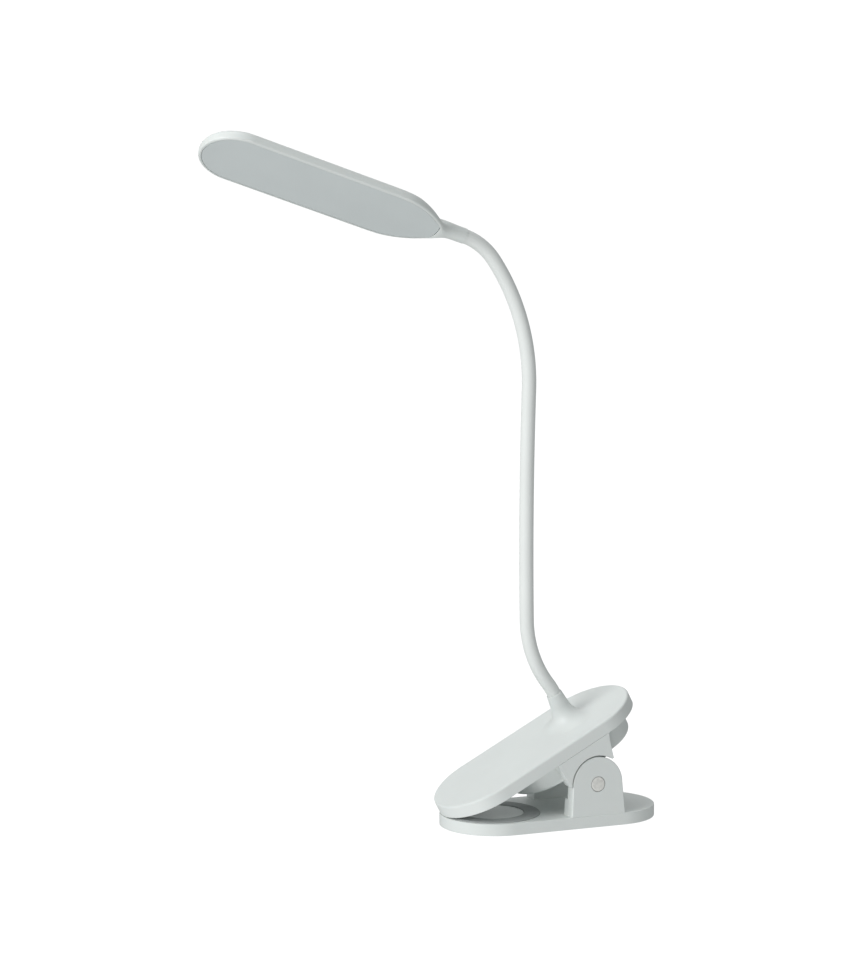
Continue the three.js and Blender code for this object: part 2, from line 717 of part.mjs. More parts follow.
// Half of the head's cross-section as [across, height above the lit face], from below to above. Towards the
// rear the rounded edge thins, a ridge rises and the section turns into the round collar.
function headSection(x, half) {
  const thick = blendOver(x, ...edgeRise, headRearThick, headEdgeThick);
  const top = blendOver(x, ...ridgeSink, headNeckDrop + collarRadius, headBackThick);
  const lowRadius = Math.min(headLowEdge, thick * lowEdgeShare);
  const topRadius = Math.min(headTopEdge, thick * topEdgeShare);
  const flat = half - topRadius;
  const ridge = blendOver(x, ...ridgeSpread, Math.min(flat, ridgeHalf), flat);
  const crown = crownShares.map((share) => {
    const across = flat * share;
    return [across, thick + (top - thick) * Math.cos(Math.PI / 2 * Math.min(1, across / ridge)) ** 2];
  });
  const plate = [
    [0, 0],
    ...arc(half - lowRadius, lowRadius, lowRadius, 270, 360, 3),
    ...arc(half - topRadius, thick - topRadius, topRadius, 0, 90, 4),
    ...crown,
  ];
  const round = 1 - THREE.MathUtils.smoothstep(x, ...collarTurn);
  return plate.map(([across, height], k) => {
    const angle = Math.PI * (k / (plate.length - 1) - 0.5);
    const collar = [half * Math.cos(angle), headNeckDrop + half * Math.sin(angle)];
    return [across + (collar[0] - across) * round, height + (collar[1] - height) * round];
  });
}

function headBody() {
  const rib = (x, half, angle) => headSection(x, half).map(([across, height]) => (
    [x + across * Math.cos(angle), across * Math.sin(angle), lit + height]));
  const nearSide = taper.map(({ x, y }) => rib(x, y, Math.PI / 2));
  const farSide = taper.map(({ x, y }) => rib(x, y, -Math.PI / 2)).reverse();
  const tip = Array.from({ length: 17 }, (_, i) => rib(headTip, headHalf, Math.PI * (0.5 - i / 16)));
  return skin([...nearSide, ...tip, ...farSide]);
}

function diffuserShape(grow = 0) {
  const inset = rimWidth - grow;
  const end = diffuserEnd - grow;
  const flank = taper.filter(({ x }) => x > end + diffuserCorner).reverse();
  const corner = flank.at(-1).y - inset - diffuserCorner;
  const shape = new THREE.Shape();
  shape.absarc(headTip, 0, headHalf - inset, -Math.PI / 2, Math.PI / 2);
  flank.forEach(({ x, y }) => shape.lineTo(x, y - inset));
  shape.lineTo(end, corner);
  shape.quadraticCurveTo(end - 2 * diffuserBow, 0, end, -corner);
  flank.reverse().forEach(({ x, y }) => shape.lineTo(x, inset - y));
  shape.closePath();
  return shape;
}

const cavityHalf = headHalf - lampCavityInset;
const cavityLength = headTip + cavityHalf - lampCavityEnd;
const cavityX = lampCavityEnd + cavityLength / 2;

const rodAlongX = (radius, x0, x1, z = 0, sides = 16) => (
  rod(radius, x0, x1, -z, 0, sides).rotateY(Math.PI / 2));

function headShell() {
  const recess = slab(diffuserShape(diffuserGap), lit - past, lit + diffuserThick + gap, 10);
  const cavity = slab(stadium(cavityLength, 2 * cavityHalf, cavityX), lit, cavityTop, 8);
  const bore = rodAlongX(coreRadius + gap, -past, headSocket + gap);
  const pocket = rodAlongX(insertRadius + gap, insertStart - gap, headSocket - gap);
  const channelEnds = [headSocket - overlap, lampCavityEnd + past];
  const channel = rodAlongX(wireChannel, ...channelEnds, cavityTop - wireChannel / 2, 10);
  return cut(headBody(), recess, cavity, bore, pocket, channel);
}

function headInsert() {
  return cut(
    rodAlongX(insertRadius, insertStart, headSocket - 2 * gap),
    rodAlongX(coreRadius + gap, insertStart - past, headSocket + past),
  );
}

function ledBoard() {
  const top = cavityTop - gap;
  const under = top - ledBoardThick;
  const [length, width] = [cavityLength - 2 * ledBoardInset, 2 * (cavityHalf - ledBoardInset)];
  const board = slab(stadium(length, width, cavityX), under, top, 6);
  const [stepX, stepY] = [(length - width / 2) / ledColumns, width / 2 / (ledRows - 1)];
  const chips = [];
  for (let i = 0; i < ledColumns; i += 1) {
    for (let j = 0; j < ledRows; j += 1) {
      const x = cavityX + stepX * (i - (ledColumns - 1) / 2);
      const y = stepY * (j - (ledRows - 1) / 2);
      const half = ledSize / 2;
      chips.push(block(x - half, x + half, y - half, y + half, under - ledThick, under + gap));
    }
  }
  return join(board, ...chips);
}

function buildHead() {
  const { place, heading } = neckAt(neckLength);
  const along = new THREE.Vector3(Math.sin(rad(heading)), 0, Math.cos(rad(heading)));
  const level = new THREE.Vector3(0, -1, 0);
  const side = level.applyAxisAngle(along, rad(headRoll));
  const back = along.clone().cross(side);
  const head = new THREE.Group();
  head.position.copy(place);
  head.quaternion.setFromRotationMatrix(new THREE.Matrix4().makeBasis(along, side, back));
  add(head, 'head_shell', headShell(), whiteShell);
  add(head, 'head_insert', headInsert(), brass);
  add(head, 'diffuser', slab(diffuserShape(), lit, lit + diffuserThick, 10), frosted);
  add(head, 'led_board', ledBoard(), boardWhite);
  return head;
}

const lamp = new THREE.Group();
lamp.add(buildFoot(), buildJaw(), buildNeck(), buildHead());

export default lamp;
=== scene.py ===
"""Clip-on reading lamp: detailed mouldings, neck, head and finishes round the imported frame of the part.

Mesh code works in millimetres, in the frame of the part, and add_piece turns the result into metres.
"""

import json
import math

import bmesh
import bpy
from bpy.props import FloatProperty, FloatVectorProperty, PointerProperty
from mathutils import Matrix, Vector


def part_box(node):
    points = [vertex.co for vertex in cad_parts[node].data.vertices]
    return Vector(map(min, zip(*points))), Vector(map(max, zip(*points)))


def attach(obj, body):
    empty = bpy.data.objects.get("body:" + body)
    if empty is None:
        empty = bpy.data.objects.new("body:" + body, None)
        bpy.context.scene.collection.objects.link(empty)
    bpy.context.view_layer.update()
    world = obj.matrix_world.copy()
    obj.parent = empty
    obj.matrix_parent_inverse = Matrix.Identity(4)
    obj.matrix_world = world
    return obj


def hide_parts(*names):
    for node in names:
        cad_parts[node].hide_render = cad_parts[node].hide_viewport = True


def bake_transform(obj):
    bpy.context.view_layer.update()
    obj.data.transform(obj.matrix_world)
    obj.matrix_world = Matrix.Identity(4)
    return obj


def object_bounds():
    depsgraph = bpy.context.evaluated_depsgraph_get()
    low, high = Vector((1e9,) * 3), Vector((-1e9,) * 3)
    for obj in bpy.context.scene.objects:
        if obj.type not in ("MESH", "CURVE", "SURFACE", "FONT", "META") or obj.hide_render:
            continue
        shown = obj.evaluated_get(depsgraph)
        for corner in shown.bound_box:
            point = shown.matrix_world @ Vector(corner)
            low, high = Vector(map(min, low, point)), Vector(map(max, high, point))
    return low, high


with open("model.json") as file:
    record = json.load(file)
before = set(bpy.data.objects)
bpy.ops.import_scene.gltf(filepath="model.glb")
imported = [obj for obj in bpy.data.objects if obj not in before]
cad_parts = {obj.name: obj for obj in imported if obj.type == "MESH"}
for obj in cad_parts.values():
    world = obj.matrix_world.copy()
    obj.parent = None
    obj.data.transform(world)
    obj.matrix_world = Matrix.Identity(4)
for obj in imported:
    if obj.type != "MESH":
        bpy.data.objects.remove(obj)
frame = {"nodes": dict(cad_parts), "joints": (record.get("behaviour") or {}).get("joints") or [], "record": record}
cad_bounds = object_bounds()

bl_info = {
    "name": "Clip-On Reading Lamp",
    "version": (1, 0, 0),
    "blender": (4, 5, 0),
    "location": "3D View > Sidebar > Reading Lamp",
    "description": "Builds the mouldings, flexible neck, head and finishes of a clip-on reading lamp",
    "category": "Add Mesh",
}

MM = 0.001

# ---- Places taken from the frame, in millimetres ----------------------------

JOINTS = {joint["name"]: joint for joint in frame["joints"]}
MOUNTS = {mount["name"]: mount for mount in frame["record"]["mounts"]}
PIN = Vector(JOINTS["jaw_hinge"]["pos_m"]) / MM
JAW_NORMAL = Vector(MOUNTS["upper_jaw_face"]["axis"])
TILT = math.atan2(JAW_NORMAL.x, -JAW_NORMAL.z)
FOOT_TOP = MOUNTS["lower_jaw_face"]["pos_m"][2] / MM


def cad_box(node):
    """Lowest and highest corner of a node of the frame, in millimetres."""
    low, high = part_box(node)
    return low / MM, high / MM


FOOT_LOW, FOOT_HIGH = cad_box("foot_shell")
PLATE_LENGTH = FOOT_HIGH.x - FOOT_LOW.x
PLATE_WIDTH = FOOT_HIGH.y - FOOT_LOW.y
HALF_WIDTH = PLATE_WIDTH / 2

# ---- Sizes, in millimetres --------------------------------------------------

GAP = 0.3                # clearance between touching pieces
PAST = 2.0               # how far a cutter runs past the face that it opens
BURY = 0.8               # how far a joined shape starts inside its neighbour

FOOT_WALL = 2.2
FOOT_ROOF = 1.8
FOOT_LOW_EDGE = 0.4

RING_DEEP = 0.8
RING_PROUD = 0.5
RING_WIDTH = 9.2
RING_EDGE = 0.25

EAR_RADIUS = 16.0
EAR_FLARE_FRONT = 0.7
EAR_FLARE_BACK = 2.0
EAR_SET_BACK = 0.25      # the ear's outer face behind the plate's side
EAR_THICK = 7.6
EAR_STEP_TOP = 17.0
EAR_STEP_THICK = 11.2
EAR_EDGE = 0.6
PIN_RADIUS = 2.5
PIN_PLAY = 0.12
PIN_HEAD_RADIUS = 4.25
PIN_HEAD_THICK = 1.4
PIN_DOME = 0.12
PIN_EDGE = 0.3

COVER_TIP_GAP = 0.3
COVER_TIP_INSET = 0.2
COVER_THICK = 7.8
COVER_WALL = 2.0
COVER_TOP_WALL = 2.0
COVER_LOW_EDGE = 0.35
BOSS_X = 10.8
BOSS_HEIGHT = 19.0
BOSS_FILLET = 12.0
BOSS_FLARE = 0.85
BOSS_MOUTH_RADIUS = 4.75
BOSS_MOUTH_EDGE = 0.3
BOSS_SOCKET_DEEP = 2.0   # the neck's sleeve starts inside the boss
TOUCH_X = -45.7
TOUCH_Y = 7.0
TOUCH_RADIUS = 4.2
TOUCH_DEEP = 0.22

LID_THICK = 2.2
BUMP_LENGTH = 81.5
BUMP_FROM_SIDE = 6.8
BUMP_X = 2.25
BUMP_DEEP = 13.5
BUMP_EDGE = 3.0
HOOD_GAP = 0.9
HOOD_FRONT = 15.6
HOOD_FRONT_LEAN = 1.2
HOOD_FRONT_LOW = 7.6
HOOD_BACK = 18.2
HOOD_BACK_LEAN = 1.5
HOOD_BACK_LOW = 8.4
HOOD_NOSE_WIDTH = 2.4
HOOD_NOSE_HEIGHT = 10.5
CHEEK_THICK = 4.0
CHEEK_RADIUS = 6.0
CHEEK_TOP_HALF = 14.6
CASE_EDGE = 0.35

GRIP_LENGTH = 26.0
GRIP_WIDTH = 26.0
GRIP_X = -56.4
GRIP_THICK = 1.0
GRIP_RIB = 1.1
GRIP_RIB_PITCH = 2.6
GRIP_GROOVE = 0.35
SCREW_HEAD = 1.9
SCREW_HEAD_THICK = 0.6
SCREW_SHANK = 0.9
SCREW_SLOT = 0.45
SCREW_SLOT_DEEP = 0.35
SCREW_EDGE = 0.2
SCREW_POINT = 0.5
SCREW_FROM_TIP = 22.0
SCREW_FROM_SIDE = 11.5
SCREW_FROM_TAIL = 6.4
SCREW_TAIL_Y = 9.0
PORT_WIDTH = 8.9
PORT_HEIGHT = 3.2
PORT_DEEP = 7.3
PORT_INSET = 1.0
PORT_Z = 17.0
PORT_WALL = 0.4

SPRING_COIL = 4.4
SPRING_WIRE = 0.75
SPRING_PITCH = 2.2
SPRING_TURNS = 5
SPRING_FOOT_LEG = 17.8
SPRING_FOOT_ANGLE = 236.0
SPRING_JAW_LEG = 11.3
SPRING_JAW_ANGLE = 90.0

NECK_RADIUS = 4.2
NECK_BORE = 3.6
NECK_ARCS = [(7, -11), (42, 37.7), (135, 2.8), (79, -37.3), (23.4, -37.1)]  # (length, degrees turned)
FIRST_JOINT = 22.0
JOINT_SPACING = 44.5
NECK_JOINTS = ["neck_bend_1", "neck_sway_1", "neck_bend_2", "neck_sway_2", "neck_bend_3", "neck_sway_3"]
NECK_STEP = 1.5
NECK_SIDES = 56
BLEND_REST = 3.0         # distance in from each end of a length of sleeve; the point found there is not used

HEAD_ROLL = math.radians(23.5)
HEAD_NECK_DROP = 4.6
HEAD_TIP = 140.2
HEAD_HALF = 22.2
HEAD_TAPER = [(0, 4.5), (10, 4.7), (15, 6), (19, 8.9), (27, 15), (35, 19.2), (43, 21.55), (51, 22.2)]
HEAD_EDGE_THICK = 6.7
HEAD_BACK_THICK = 8.6
HEAD_REAR_THICK = 4.5
HEAD_TOP_EDGE = 3.8
HEAD_LOW_EDGE = 1.2
TOP_EDGE_SHARE = 0.6
LOW_EDGE_SHARE = 0.4
EDGE_RISE = (18, 40)
RIDGE_SINK = (20, 58)
RIDGE_SPREAD = (20, 56)
COLLAR_TURN = (10, 20)
RIDGE_HALF = 7.0
HEAD_CORE_DEEP = 14.3
COLLAR_SOCKET_DEEP = 0.9 # the neck's sleeve ends inside the collar
RIM_WIDTH = 1.9
DIFFUSER_THICK = 1.5
DIFFUSER_GAP = 0.2
DIFFUSER_END = 18.9
DIFFUSER_BOW = 1.0
DIFFUSER_CORNER = 1.0
DIFFUSER_EDGE = 0.35
HEAD_CAVITY_END = 50.0
HEAD_CAVITY_INSET = 3.1
HEAD_WALL = 1.4

# ---- The jaw's own frame, turned about the pin ------------------------------

TIP_RISE = FOOT_TOP + COVER_TIP_GAP - PIN.z
TIP_REACH = (math.cos(TILT) * (PIN.x + PLATE_LENGTH / 2 - COVER_TIP_INSET)
             - math.sin(TILT) * TIP_RISE)
COVER_X = PLATE_LENGTH / 2 - TIP_REACH
COVER_UNDER = (TIP_RISE + math.sin(TILT) * TIP_REACH) / math.cos(TILT)
COVER_UPPER = COVER_UNDER + COVER_THICK
BUMP_UNDER = COVER_UNDER - BUMP_DEEP
BOSS_MOUTH = COVER_UPPER + BOSS_HEIGHT
JAW = Matrix.Translation(PIN) @ Matrix.Rotation(-TILT, 4, "Y")


# ---- The neck's route, in the plane y = 0 -----------------------------------

NECK_LENGTH = sum(length for length, _ in NECK_ARCS)
NECK_MOUTH = JAW @ Vector((BOSS_X, 0, BOSS_MOUTH))


def neck_at(distance):
    """Point and heading (radians from +Z towards +X) at a distance from the boss's mouth."""
    place, heading = NECK_MOUTH.copy(), -TILT

    def advance(length, turn):
        nonlocal heading
        half = turn / 2
        chord = length * math.sin(half) / half if half else length
        place.x += chord * math.sin(heading + half)
        place.z += chord * math.cos(heading + half)
        heading += turn

    if distance < 0:
        advance(distance, 0)
    left = max(distance, 0)
    for length, turn in NECK_ARCS:
        part = min(left, length)
        if part > 0:
            advance(part, math.radians(turn) * part / length)
        left -= part
    return place, heading


def head_frame():
    """X along the head, Z out of its back, origin at the collar's mouth."""
    place, heading = neck_at(NECK_LENGTH)
    along = Vector((math.sin(heading), 0, math.cos(heading)))
    side = Matrix.Rotation(HEAD_ROLL, 3, along) @ Vector((0, -1, 0))
    axes = Matrix((along, side, along.cross(side))).transposed()
    return Matrix.Translation(place) @ axes.to_4x4()


HEAD = head_frame()


# ---- Properties -------------------------------------------------------------

def length_property(name, description, default):
    return FloatProperty(name=name, description=description, default=default * MM, min=0, unit="LENGTH")


def power_property(name, description, default):
    return FloatProperty(name=name, description=description, default=default, min=0, subtype="POWER")


def colour_property(name, description, default):
    return FloatVectorProperty(name=name, description=description, default=default, size=3,
                               min=0, max=1, subtype="COLOR")


class LampSizes(bpy.types.PropertyGroup):
    """Sizes that change the look without touching the fit."""

    plate_edge: length_property("Plate edge", "Rounding of the foot's upper edge", 0.5)
    cover_edge: length_property("Cover edge", "Rounding of the jaw cover's upper edge", 1.4)
    grain: length_property("Grain", "Size of the moulded texture's grain", 0.45)
    # Width of the band along edges that gets a painted highlight on the plastic, the panel and the metal; on the
    # plastic the band is also made a little less rough, as if worn.
    highlight_band: length_property("Highlight band", "Width of the rubbed band along edges", 0.5)


class LampColours(bpy.types.PropertyGroup):
    """Base colours of the finishes."""

    shell: colour_property("Shell", "White moulded plastic", (0.80, 0.835, 0.82))
    sleeve: colour_property("Sleeve", "White silicone of the neck", (0.83, 0.855, 0.84))
    panel: colour_property("Panel", "Frosted light panel", (0.70, 0.745, 0.745))
    rubber: colour_property("Rubber", "Grey rubber", (0.44, 0.46, 0.46))
    steel: colour_property("Steel", "Brushed steel", (0.93, 0.92, 0.87))
    floor: colour_property("Floor", "Pale studio floor", (0.9, 0.9, 0.9))


class LampStage(bpy.types.PropertyGroup):
    """Camera and light."""

    azimuth: FloatProperty(name="Azimuth", description="Camera round the lamp", default=math.radians(-22.42),
                           subtype="ANGLE")
    elevation: FloatProperty(name="Elevation", description="Camera above the horizon",
                             default=math.radians(3.99), subtype="ANGLE")
    distance: length_property("Distance", "Camera to the point that it looks at", 1200)
    lens: FloatProperty(name="Lens", description="Focal length in millimetres", default=78.34, min=1)
    key: power_property("Key", "Power of the key light", 38)
    fill: power_property("Fill", "Power of the light behind", 2)
    top: power_property("Top", "Power of the light above", 10)
    bounce: power_property("Bounce", "Power of the light from below", 18)
    ambient: FloatProperty(name="Ambient", description="Even light from all round", default=0.39, min=0)


def settings():
    scene = bpy.context.scene
    return scene.lamp_sizes, scene.lamp_colours, scene.lamp_stage


# ---- Outlines and rings -----------------------------------------------------

def turn_points(centre_a, centre_b, radius, start, end, steps):
    """Points on an arc, angles in degrees."""
    points = []
    for i in range(steps + 1):
        angle = math.radians(start + (end - start) * i / steps)
        points.append((centre_a + radius * math.cos(angle), centre_b + radius * math.sin(angle)))
    return points


def stadium_ring(length, width, centre_x, inset, z, steps=40):
    """Level stadium outline, pulled in by inset."""
    radius = width / 2
    half = length / 2 - radius
    right = turn_points(centre_x + half, 0, radius - inset, -90, 90, steps)
    left = turn_points(centre_x - half, 0, radius - inset, 90, 270, steps)
    return [Vector((x, y, z)) for x, y in right + left]


def circle_ring(radius, z, x=0.0, y=0.0, sides=64):
    points = turn_points(x, y, radius, 0, 360 - 360 / sides, sides - 1)
    return [Vector((a, b, z)) for a, b in points]


def edge_profile(low, high, low_edge, high_edge, steps=5):
    """(inset, height) pairs up a wall with rounded lower and upper edges."""
    profile = [(-x, z) for x, z in turn_points(-low_edge, low + low_edge, low_edge, 270, 360, steps)]
    profile += [(-x, z) for x, z in turn_points(-high_edge, high - high_edge, high_edge, 0, 90, steps)]
    return profile


# ---- Meshes -----------------------------------------------------------------

def add_rings(shape, rings, closed=False):
    """Skins rings, all with the same number of points, into a shape and returns their vertices."""
    rows = [[shape.verts.new(point) for point in ring] for ring in rings]
    for low, high in zip(rows, rows[1:] + rows[:1] if closed else rows[1:]):
        for i, corner in enumerate(low):
            j = (i + 1) % len(low)
            shape.faces.new((corner, low[j], high[j], high[i]))
    return rows


def loft(rings, closed=False, capped=True):
    """Closed body, or a ring-shaped one, over rings."""
    shape = bmesh.new()
    rows = add_rings(shape, rings, closed)
    if capped and not closed:
        shape.faces.new(rows[0][::-1])
        shape.faces.new(rows[-1])
    bmesh.ops.recalc_face_normals(shape, faces=shape.faces)
    return shape


def stadium_slab(length, width, centre_x, profile, steps=40):
    return loft([stadium_ring(length, width, centre_x, inset, z, steps) for inset, z in profile])


def lathe(profile, sides=64):
    """Body of revolution about Z from (radius, height) pairs off the axis."""
    return loft([circle_ring(radius, z, sides=sides) for radius, z in profile])


def along_y(shape):
    """Turns a shape so that what pointed up points along +Y."""
    shape.transform(Matrix.Rotation(-math.pi / 2, 4, "X"))
    return shape


def moved(shape, x=0.0, y=0.0, z=0.0):
    shape.transform(Matrix.Translation((x, y, z)))
    return shape


def box_shape(low, high):
    ring = [(low[0], low[1]), (high[0], low[1]), (high[0], high[1]), (low[0], high[1])]
    return loft([[Vector((x, y, z)) for x, y in ring] for z in (low[2], high[2])])


def either_side(side, near, far):
    """Two distances from the middle, as places across the lamp with the lower one first."""
    return sorted((side * near, side * far))


def prism_along_y(outline, y_low, y_high):
    """Body between two copies of an outline drawn in XZ."""
    return loft([[Vector((x, y, z)) for x, z in outline] for y in (y_low, y_high)])


def tube_rings(route, radius, sides):
    """Rings round a route given as (point, across, up) frames."""
    rings = []
    for point, across, up in route:
        ring = []
        for i in range(sides):
            angle = 2 * math.pi * i / sides
            ring.append(point + radius * (math.cos(angle) * across + math.sin(angle) * up))
        rings.append(ring)
    return rings


def add_piece(name, shape, place=None):
    """Mesh object in metres from a shape in millimetres."""
    if place is not None:
        shape.transform(place)
    shape.transform(Matrix.Scale(MM, 4))
    mesh = bpy.data.meshes.new(name)
    shape.to_mesh(mesh)
    shape.free()
    piece = bpy.data.objects.new(name, mesh)
    bpy.context.scene.collection.objects.link(piece)
    return piece


def bake_modifiers(piece):
    bpy.context.view_layer.update()
    graph = bpy.context.evaluated_depsgraph_get()
    old = piece.data
    mesh = bpy.data.meshes.new_from_object(piece.evaluated_get(graph))
    piece.modifiers.clear()
    piece.data = mesh
    bpy.data.meshes.remove(old)
    mesh.name = piece.name


def combine(piece, operation, shapes, place=None):
    """Joins shapes to a piece or cuts them from it."""
    others = [add_piece("part_of_" + piece.name, shape, place) for shape in shapes]
    for other in others:
        modifier = piece.modifiers.new("Combine", "BOOLEAN")
        modifier.operation = operation
        modifier.solver = "EXACT"
        modifier.object = other
    bake_modifiers(piece)
    for other in others:
        mesh = other.data
        bpy.data.objects.remove(other)
        bpy.data.meshes.remove(mesh)


def flatten_faces(piece, degrees=0.4):
    """Merges the coplanar faces that a boolean leaves."""
    shape = bmesh.new()
    shape.from_mesh(piece.data)
    bmesh.ops.remove_doubles(shape, verts=shape.verts, dist=0.004 * MM)
    bmesh.ops.dissolve_limit(shape, angle_limit=math.radians(degrees), verts=shape.verts, edges=shape.edges)
    shape.to_mesh(piece.data)
    shape.free()


def round_edges(piece, width, segments=3, degrees=35):
    modifier = piece.modifiers.new("Edges", "BEVEL")
    modifier.width = width * MM
    modifier.segments = segments
    modifier.limit_method = "ANGLE"
    modifier.angle_limit = math.radians(degrees)
    modifier.use_clamp_overlap = True
    bake_modifiers(piece)


def dress(piece, slot, body=None, replaces=(), degrees=35):
    """Smooth shading, finish and place in the frame."""
    piece.data.shade_smooth()
    piece.data.set_sharp_from_angle(angle=math.radians(degrees))
    piece.data.materials.clear()
    piece.data.materials.append(finishes()[slot])
    modifier = piece.modifiers.new("Even normals", "WEIGHTED_NORMAL")
    modifier.keep_sharp = True
    if body:
        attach(piece, body)
    if replaces:
        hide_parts(*replaces)


# ---- Shader maths -----------------------------------------------------------

class Signal:
    """A number that changes over a surface. Python's operators add Math nodes to it."""

    def __init__(self, finish, socket):
        self.finish = finish
        self.socket = socket

    def maths(self, operation, *values, clamp=False):
        return self.finish.node("ShaderNodeMath", {"operation": operation, "use_clamp": clamp},
                                dict(enumerate(values)))

    def __add__(self, other):
        return self.maths("ADD", self, other)

    def __sub__(self, other):
        return self.maths("SUBTRACT", self, other)

    def __rsub__(self, other):
        return self.maths("SUBTRACT", other, self)

    def __mul__(self, other):
        return self.maths("MULTIPLY", self, other)

    __radd__ = __add__
    __rmul__ = __mul__

    def clipped(self):
        return self.maths("ADD", self, 0.0, clamp=True)


class Finish:
    """A material under construction."""

    def __init__(self, name):
        self.material = bpy.data.materials.new(name)
        self.material.use_nodes = True
        self.tree = self.material.node_tree
        self.shader = self.tree.nodes["Principled BSDF"]
        self.place = self.node("ShaderNodeTexCoord", output="Object")

    def node(self, kind, settings=None, inputs=None, output=0):
        """Adds a node, sets it, joins its sockets and returns one output."""
        node = self.tree.nodes.new(kind)
        for key, value in (settings or {}).items():
            if key == "stops":
                self.set_stops(node.color_ramp, value)
            else:
                setattr(node, key, value)
        for key, value in (inputs or {}).items():
            self.feed(node.inputs[key], value)
        return Signal(self, node.outputs[output])

    @staticmethod
    def set_stops(ramp, stops):
        while len(ramp.elements) < len(stops):
            ramp.elements.new(0.5)
        for element, (position, shade) in zip(ramp.elements, stops):
            element.position = position
            element.color = (shade, shade, shade, 1)

    def feed(self, socket, value):
        if isinstance(value, Signal):
            self.tree.links.new(value.socket, socket)
        else:
            socket.default_value = value

    def set(self, **values):
        """Feeds the shader's sockets, named with underscores for spaces."""
        for key, value in values.items():
            self.feed(self.shader.inputs[key.replace("_", " ")], value)

    def scaled(self, x=1.0, y=1.0, z=1.0):
        """The surface's place with each direction stretched."""
        return self.node("ShaderNodeVectorMath", {"operation": "MULTIPLY"}, {0: self.place, 1: (x, y, z)})

    def noise(self, scale, detail=2.0, roughness=0.5, place=None):
        inputs = {"Vector": place or self.place, "Scale": scale, "Detail": detail, "Roughness": roughness}
        return self.node("ShaderNodeTexNoise", None, inputs)

    def specks(self, scale, size):
        """Sparse round dots, 1 inside and 0 outside."""
        near = self.node("ShaderNodeTexVoronoi", None, {"Vector": self.place, "Scale": scale})
        return self.ramp(near, (size * 0.6, 1), (size, 0))

    def ramp(self, value, *stops):
        return self.node("ShaderNodeValToRGB", {"stops": stops}, {"Fac": value})

    def mix(self, share, first, second):
        """Colour between two colours."""
        colours = {"Factor": share, 6: shade(first), 7: shade(second)}
        return self.node("ShaderNodeMix", {"data_type": "RGBA"}, colours, output=2)

    def edges(self, width, gain=6.0):
        """1 along outward edges, 0 on open faces."""
        rounded = self.node("ShaderNodeBevel", {"samples": 6}, {"Radius": width})
        flat = self.node("ShaderNodeNewGeometry", output="Normal")
        dot = self.node("ShaderNodeVectorMath", {"operation": "DOT_PRODUCT"}, {0: rounded, 1: flat}, "Value")
        return ((1 - dot) * gain).clipped()

    def corner_shade_mask(self, reach):
        """1 deep in corners, where shade falls, 0 in the open: the mask for painted shade."""
        open_air = self.node("ShaderNodeAmbientOcclusion", {"samples": 8}, {"Distance": reach}, "AO")
        return (1 - open_air).clipped()

    def bump(self, height, distance, strength):
        inputs = {"Height": height, "Distance": distance, "Strength": strength}
        return self.node("ShaderNodeBump", None, inputs)

    def drift(self, signal, colour, dark, light, start=0.3, end=0.7):
        """Colour that drifts between a darker and a lighter tint."""
        return self.mix(self.ramp(signal, (start, 0), (end, 1)), tinted(colour, dark), tinted(colour, light))


def shade(colour):
    return colour if isinstance(colour, Signal) else (*tuple(colour)[:3], 1)


def tinted(colour, factor):
    return tuple(min(1.0, part * factor) for part in tuple(colour)[:3])


# ---- Finishes ---------------------------------------------------------------

def moulded_plastic(name, colour, roughness=0.42, edge_highlight=1.06, painted_corner_shade=0.10):
    """Satin white plastic with a fine spark-eroded grain, dusty specks, edges worn smoother under a painted
    highlight, and painted shade in the corners.
    """
    sizes, _, _ = settings()
    finish = Finish(name)
    cloud = finish.noise(28, 3.0)
    mottle = finish.noise(260, 3.0, 0.6)
    grain = finish.noise(1 / sizes.grain, 2.0, 0.55)
    fine = finish.noise(3.2 / sizes.grain, 1.0)
    edge = finish.edges(sizes.highlight_band)
    # Painted highlight along the outward edges, broken up by the mottle; the same band is also made a little less
    # rough, as real rubbing would.
    rubbed_highlit = (edge * finish.ramp(mottle, (0.35, 0.35), (0.7, 1.0))).clipped()
    corner = finish.corner_shade_mask(0.004)
    specks = finish.specks(420, 0.06) * finish.ramp(cloud, (0.52, 0), (0.62, 1))
    body = finish.drift(cloud, colour, 0.975, 1.015)
    body = finish.mix(finish.ramp(mottle, (0.25, 0), (0.75, 0.35)), body, tinted(colour, 0.985))
    body = finish.mix(rubbed_highlit * 0.5, body, tinted(colour, edge_highlight))
    # Painted shade: a dusty darkening deep in the corners from the occlusion mask, mixed with dusty specks that
    # are real.
    body = finish.mix(corner * painted_corner_shade + specks * 0.10, body, (0.50, 0.48, 0.43))
    wipe = finish.noise(75, 4.0, 0.65, finish.scaled(1, 1, 0.35))
    rough = roughness + (wipe - 0.5) * 0.16 - rubbed_highlit * 0.10 + corner * 0.12
    finish.set(Base_Color=body, Roughness=rough.clipped(), IOR=1.5,
               Normal=finish.bump(grain * 0.7 + fine * 0.3, 0.00005, 0.55))
    finish.shader.inputs["Subsurface Weight"].default_value = 0.05
    finish.shader.inputs["Subsurface Radius"].default_value = (0.0012, 0.0010, 0.0009)
    return finish.material


def silicone(name, colour):
    """Smooth soft sleeve, a little dusty, with the core's winding just showing through."""
    finish = Finish(name)
    cloud = finish.noise(34, 3.0)
    fine = finish.noise(2600, 2.0)
    smear = finish.noise(110, 4.0, 0.6, finish.scaled(1, 1, 0.25))
    specks = finish.specks(520, 0.05) * finish.ramp(cloud, (0.5, 0), (0.62, 1))
    body = finish.drift(cloud, colour, 0.98, 1.015)
    body = finish.mix(specks * 0.16, body, (0.47, 0.45, 0.41))
    rough = 0.5 + (smear - 0.5) * 0.18
    finish.set(Base_Color=body, Roughness=rough.clipped(), IOR=1.42,
               Normal=finish.bump(fine * 0.6 + smear * 0.4, 0.00004, 0.5))
    return finish.material


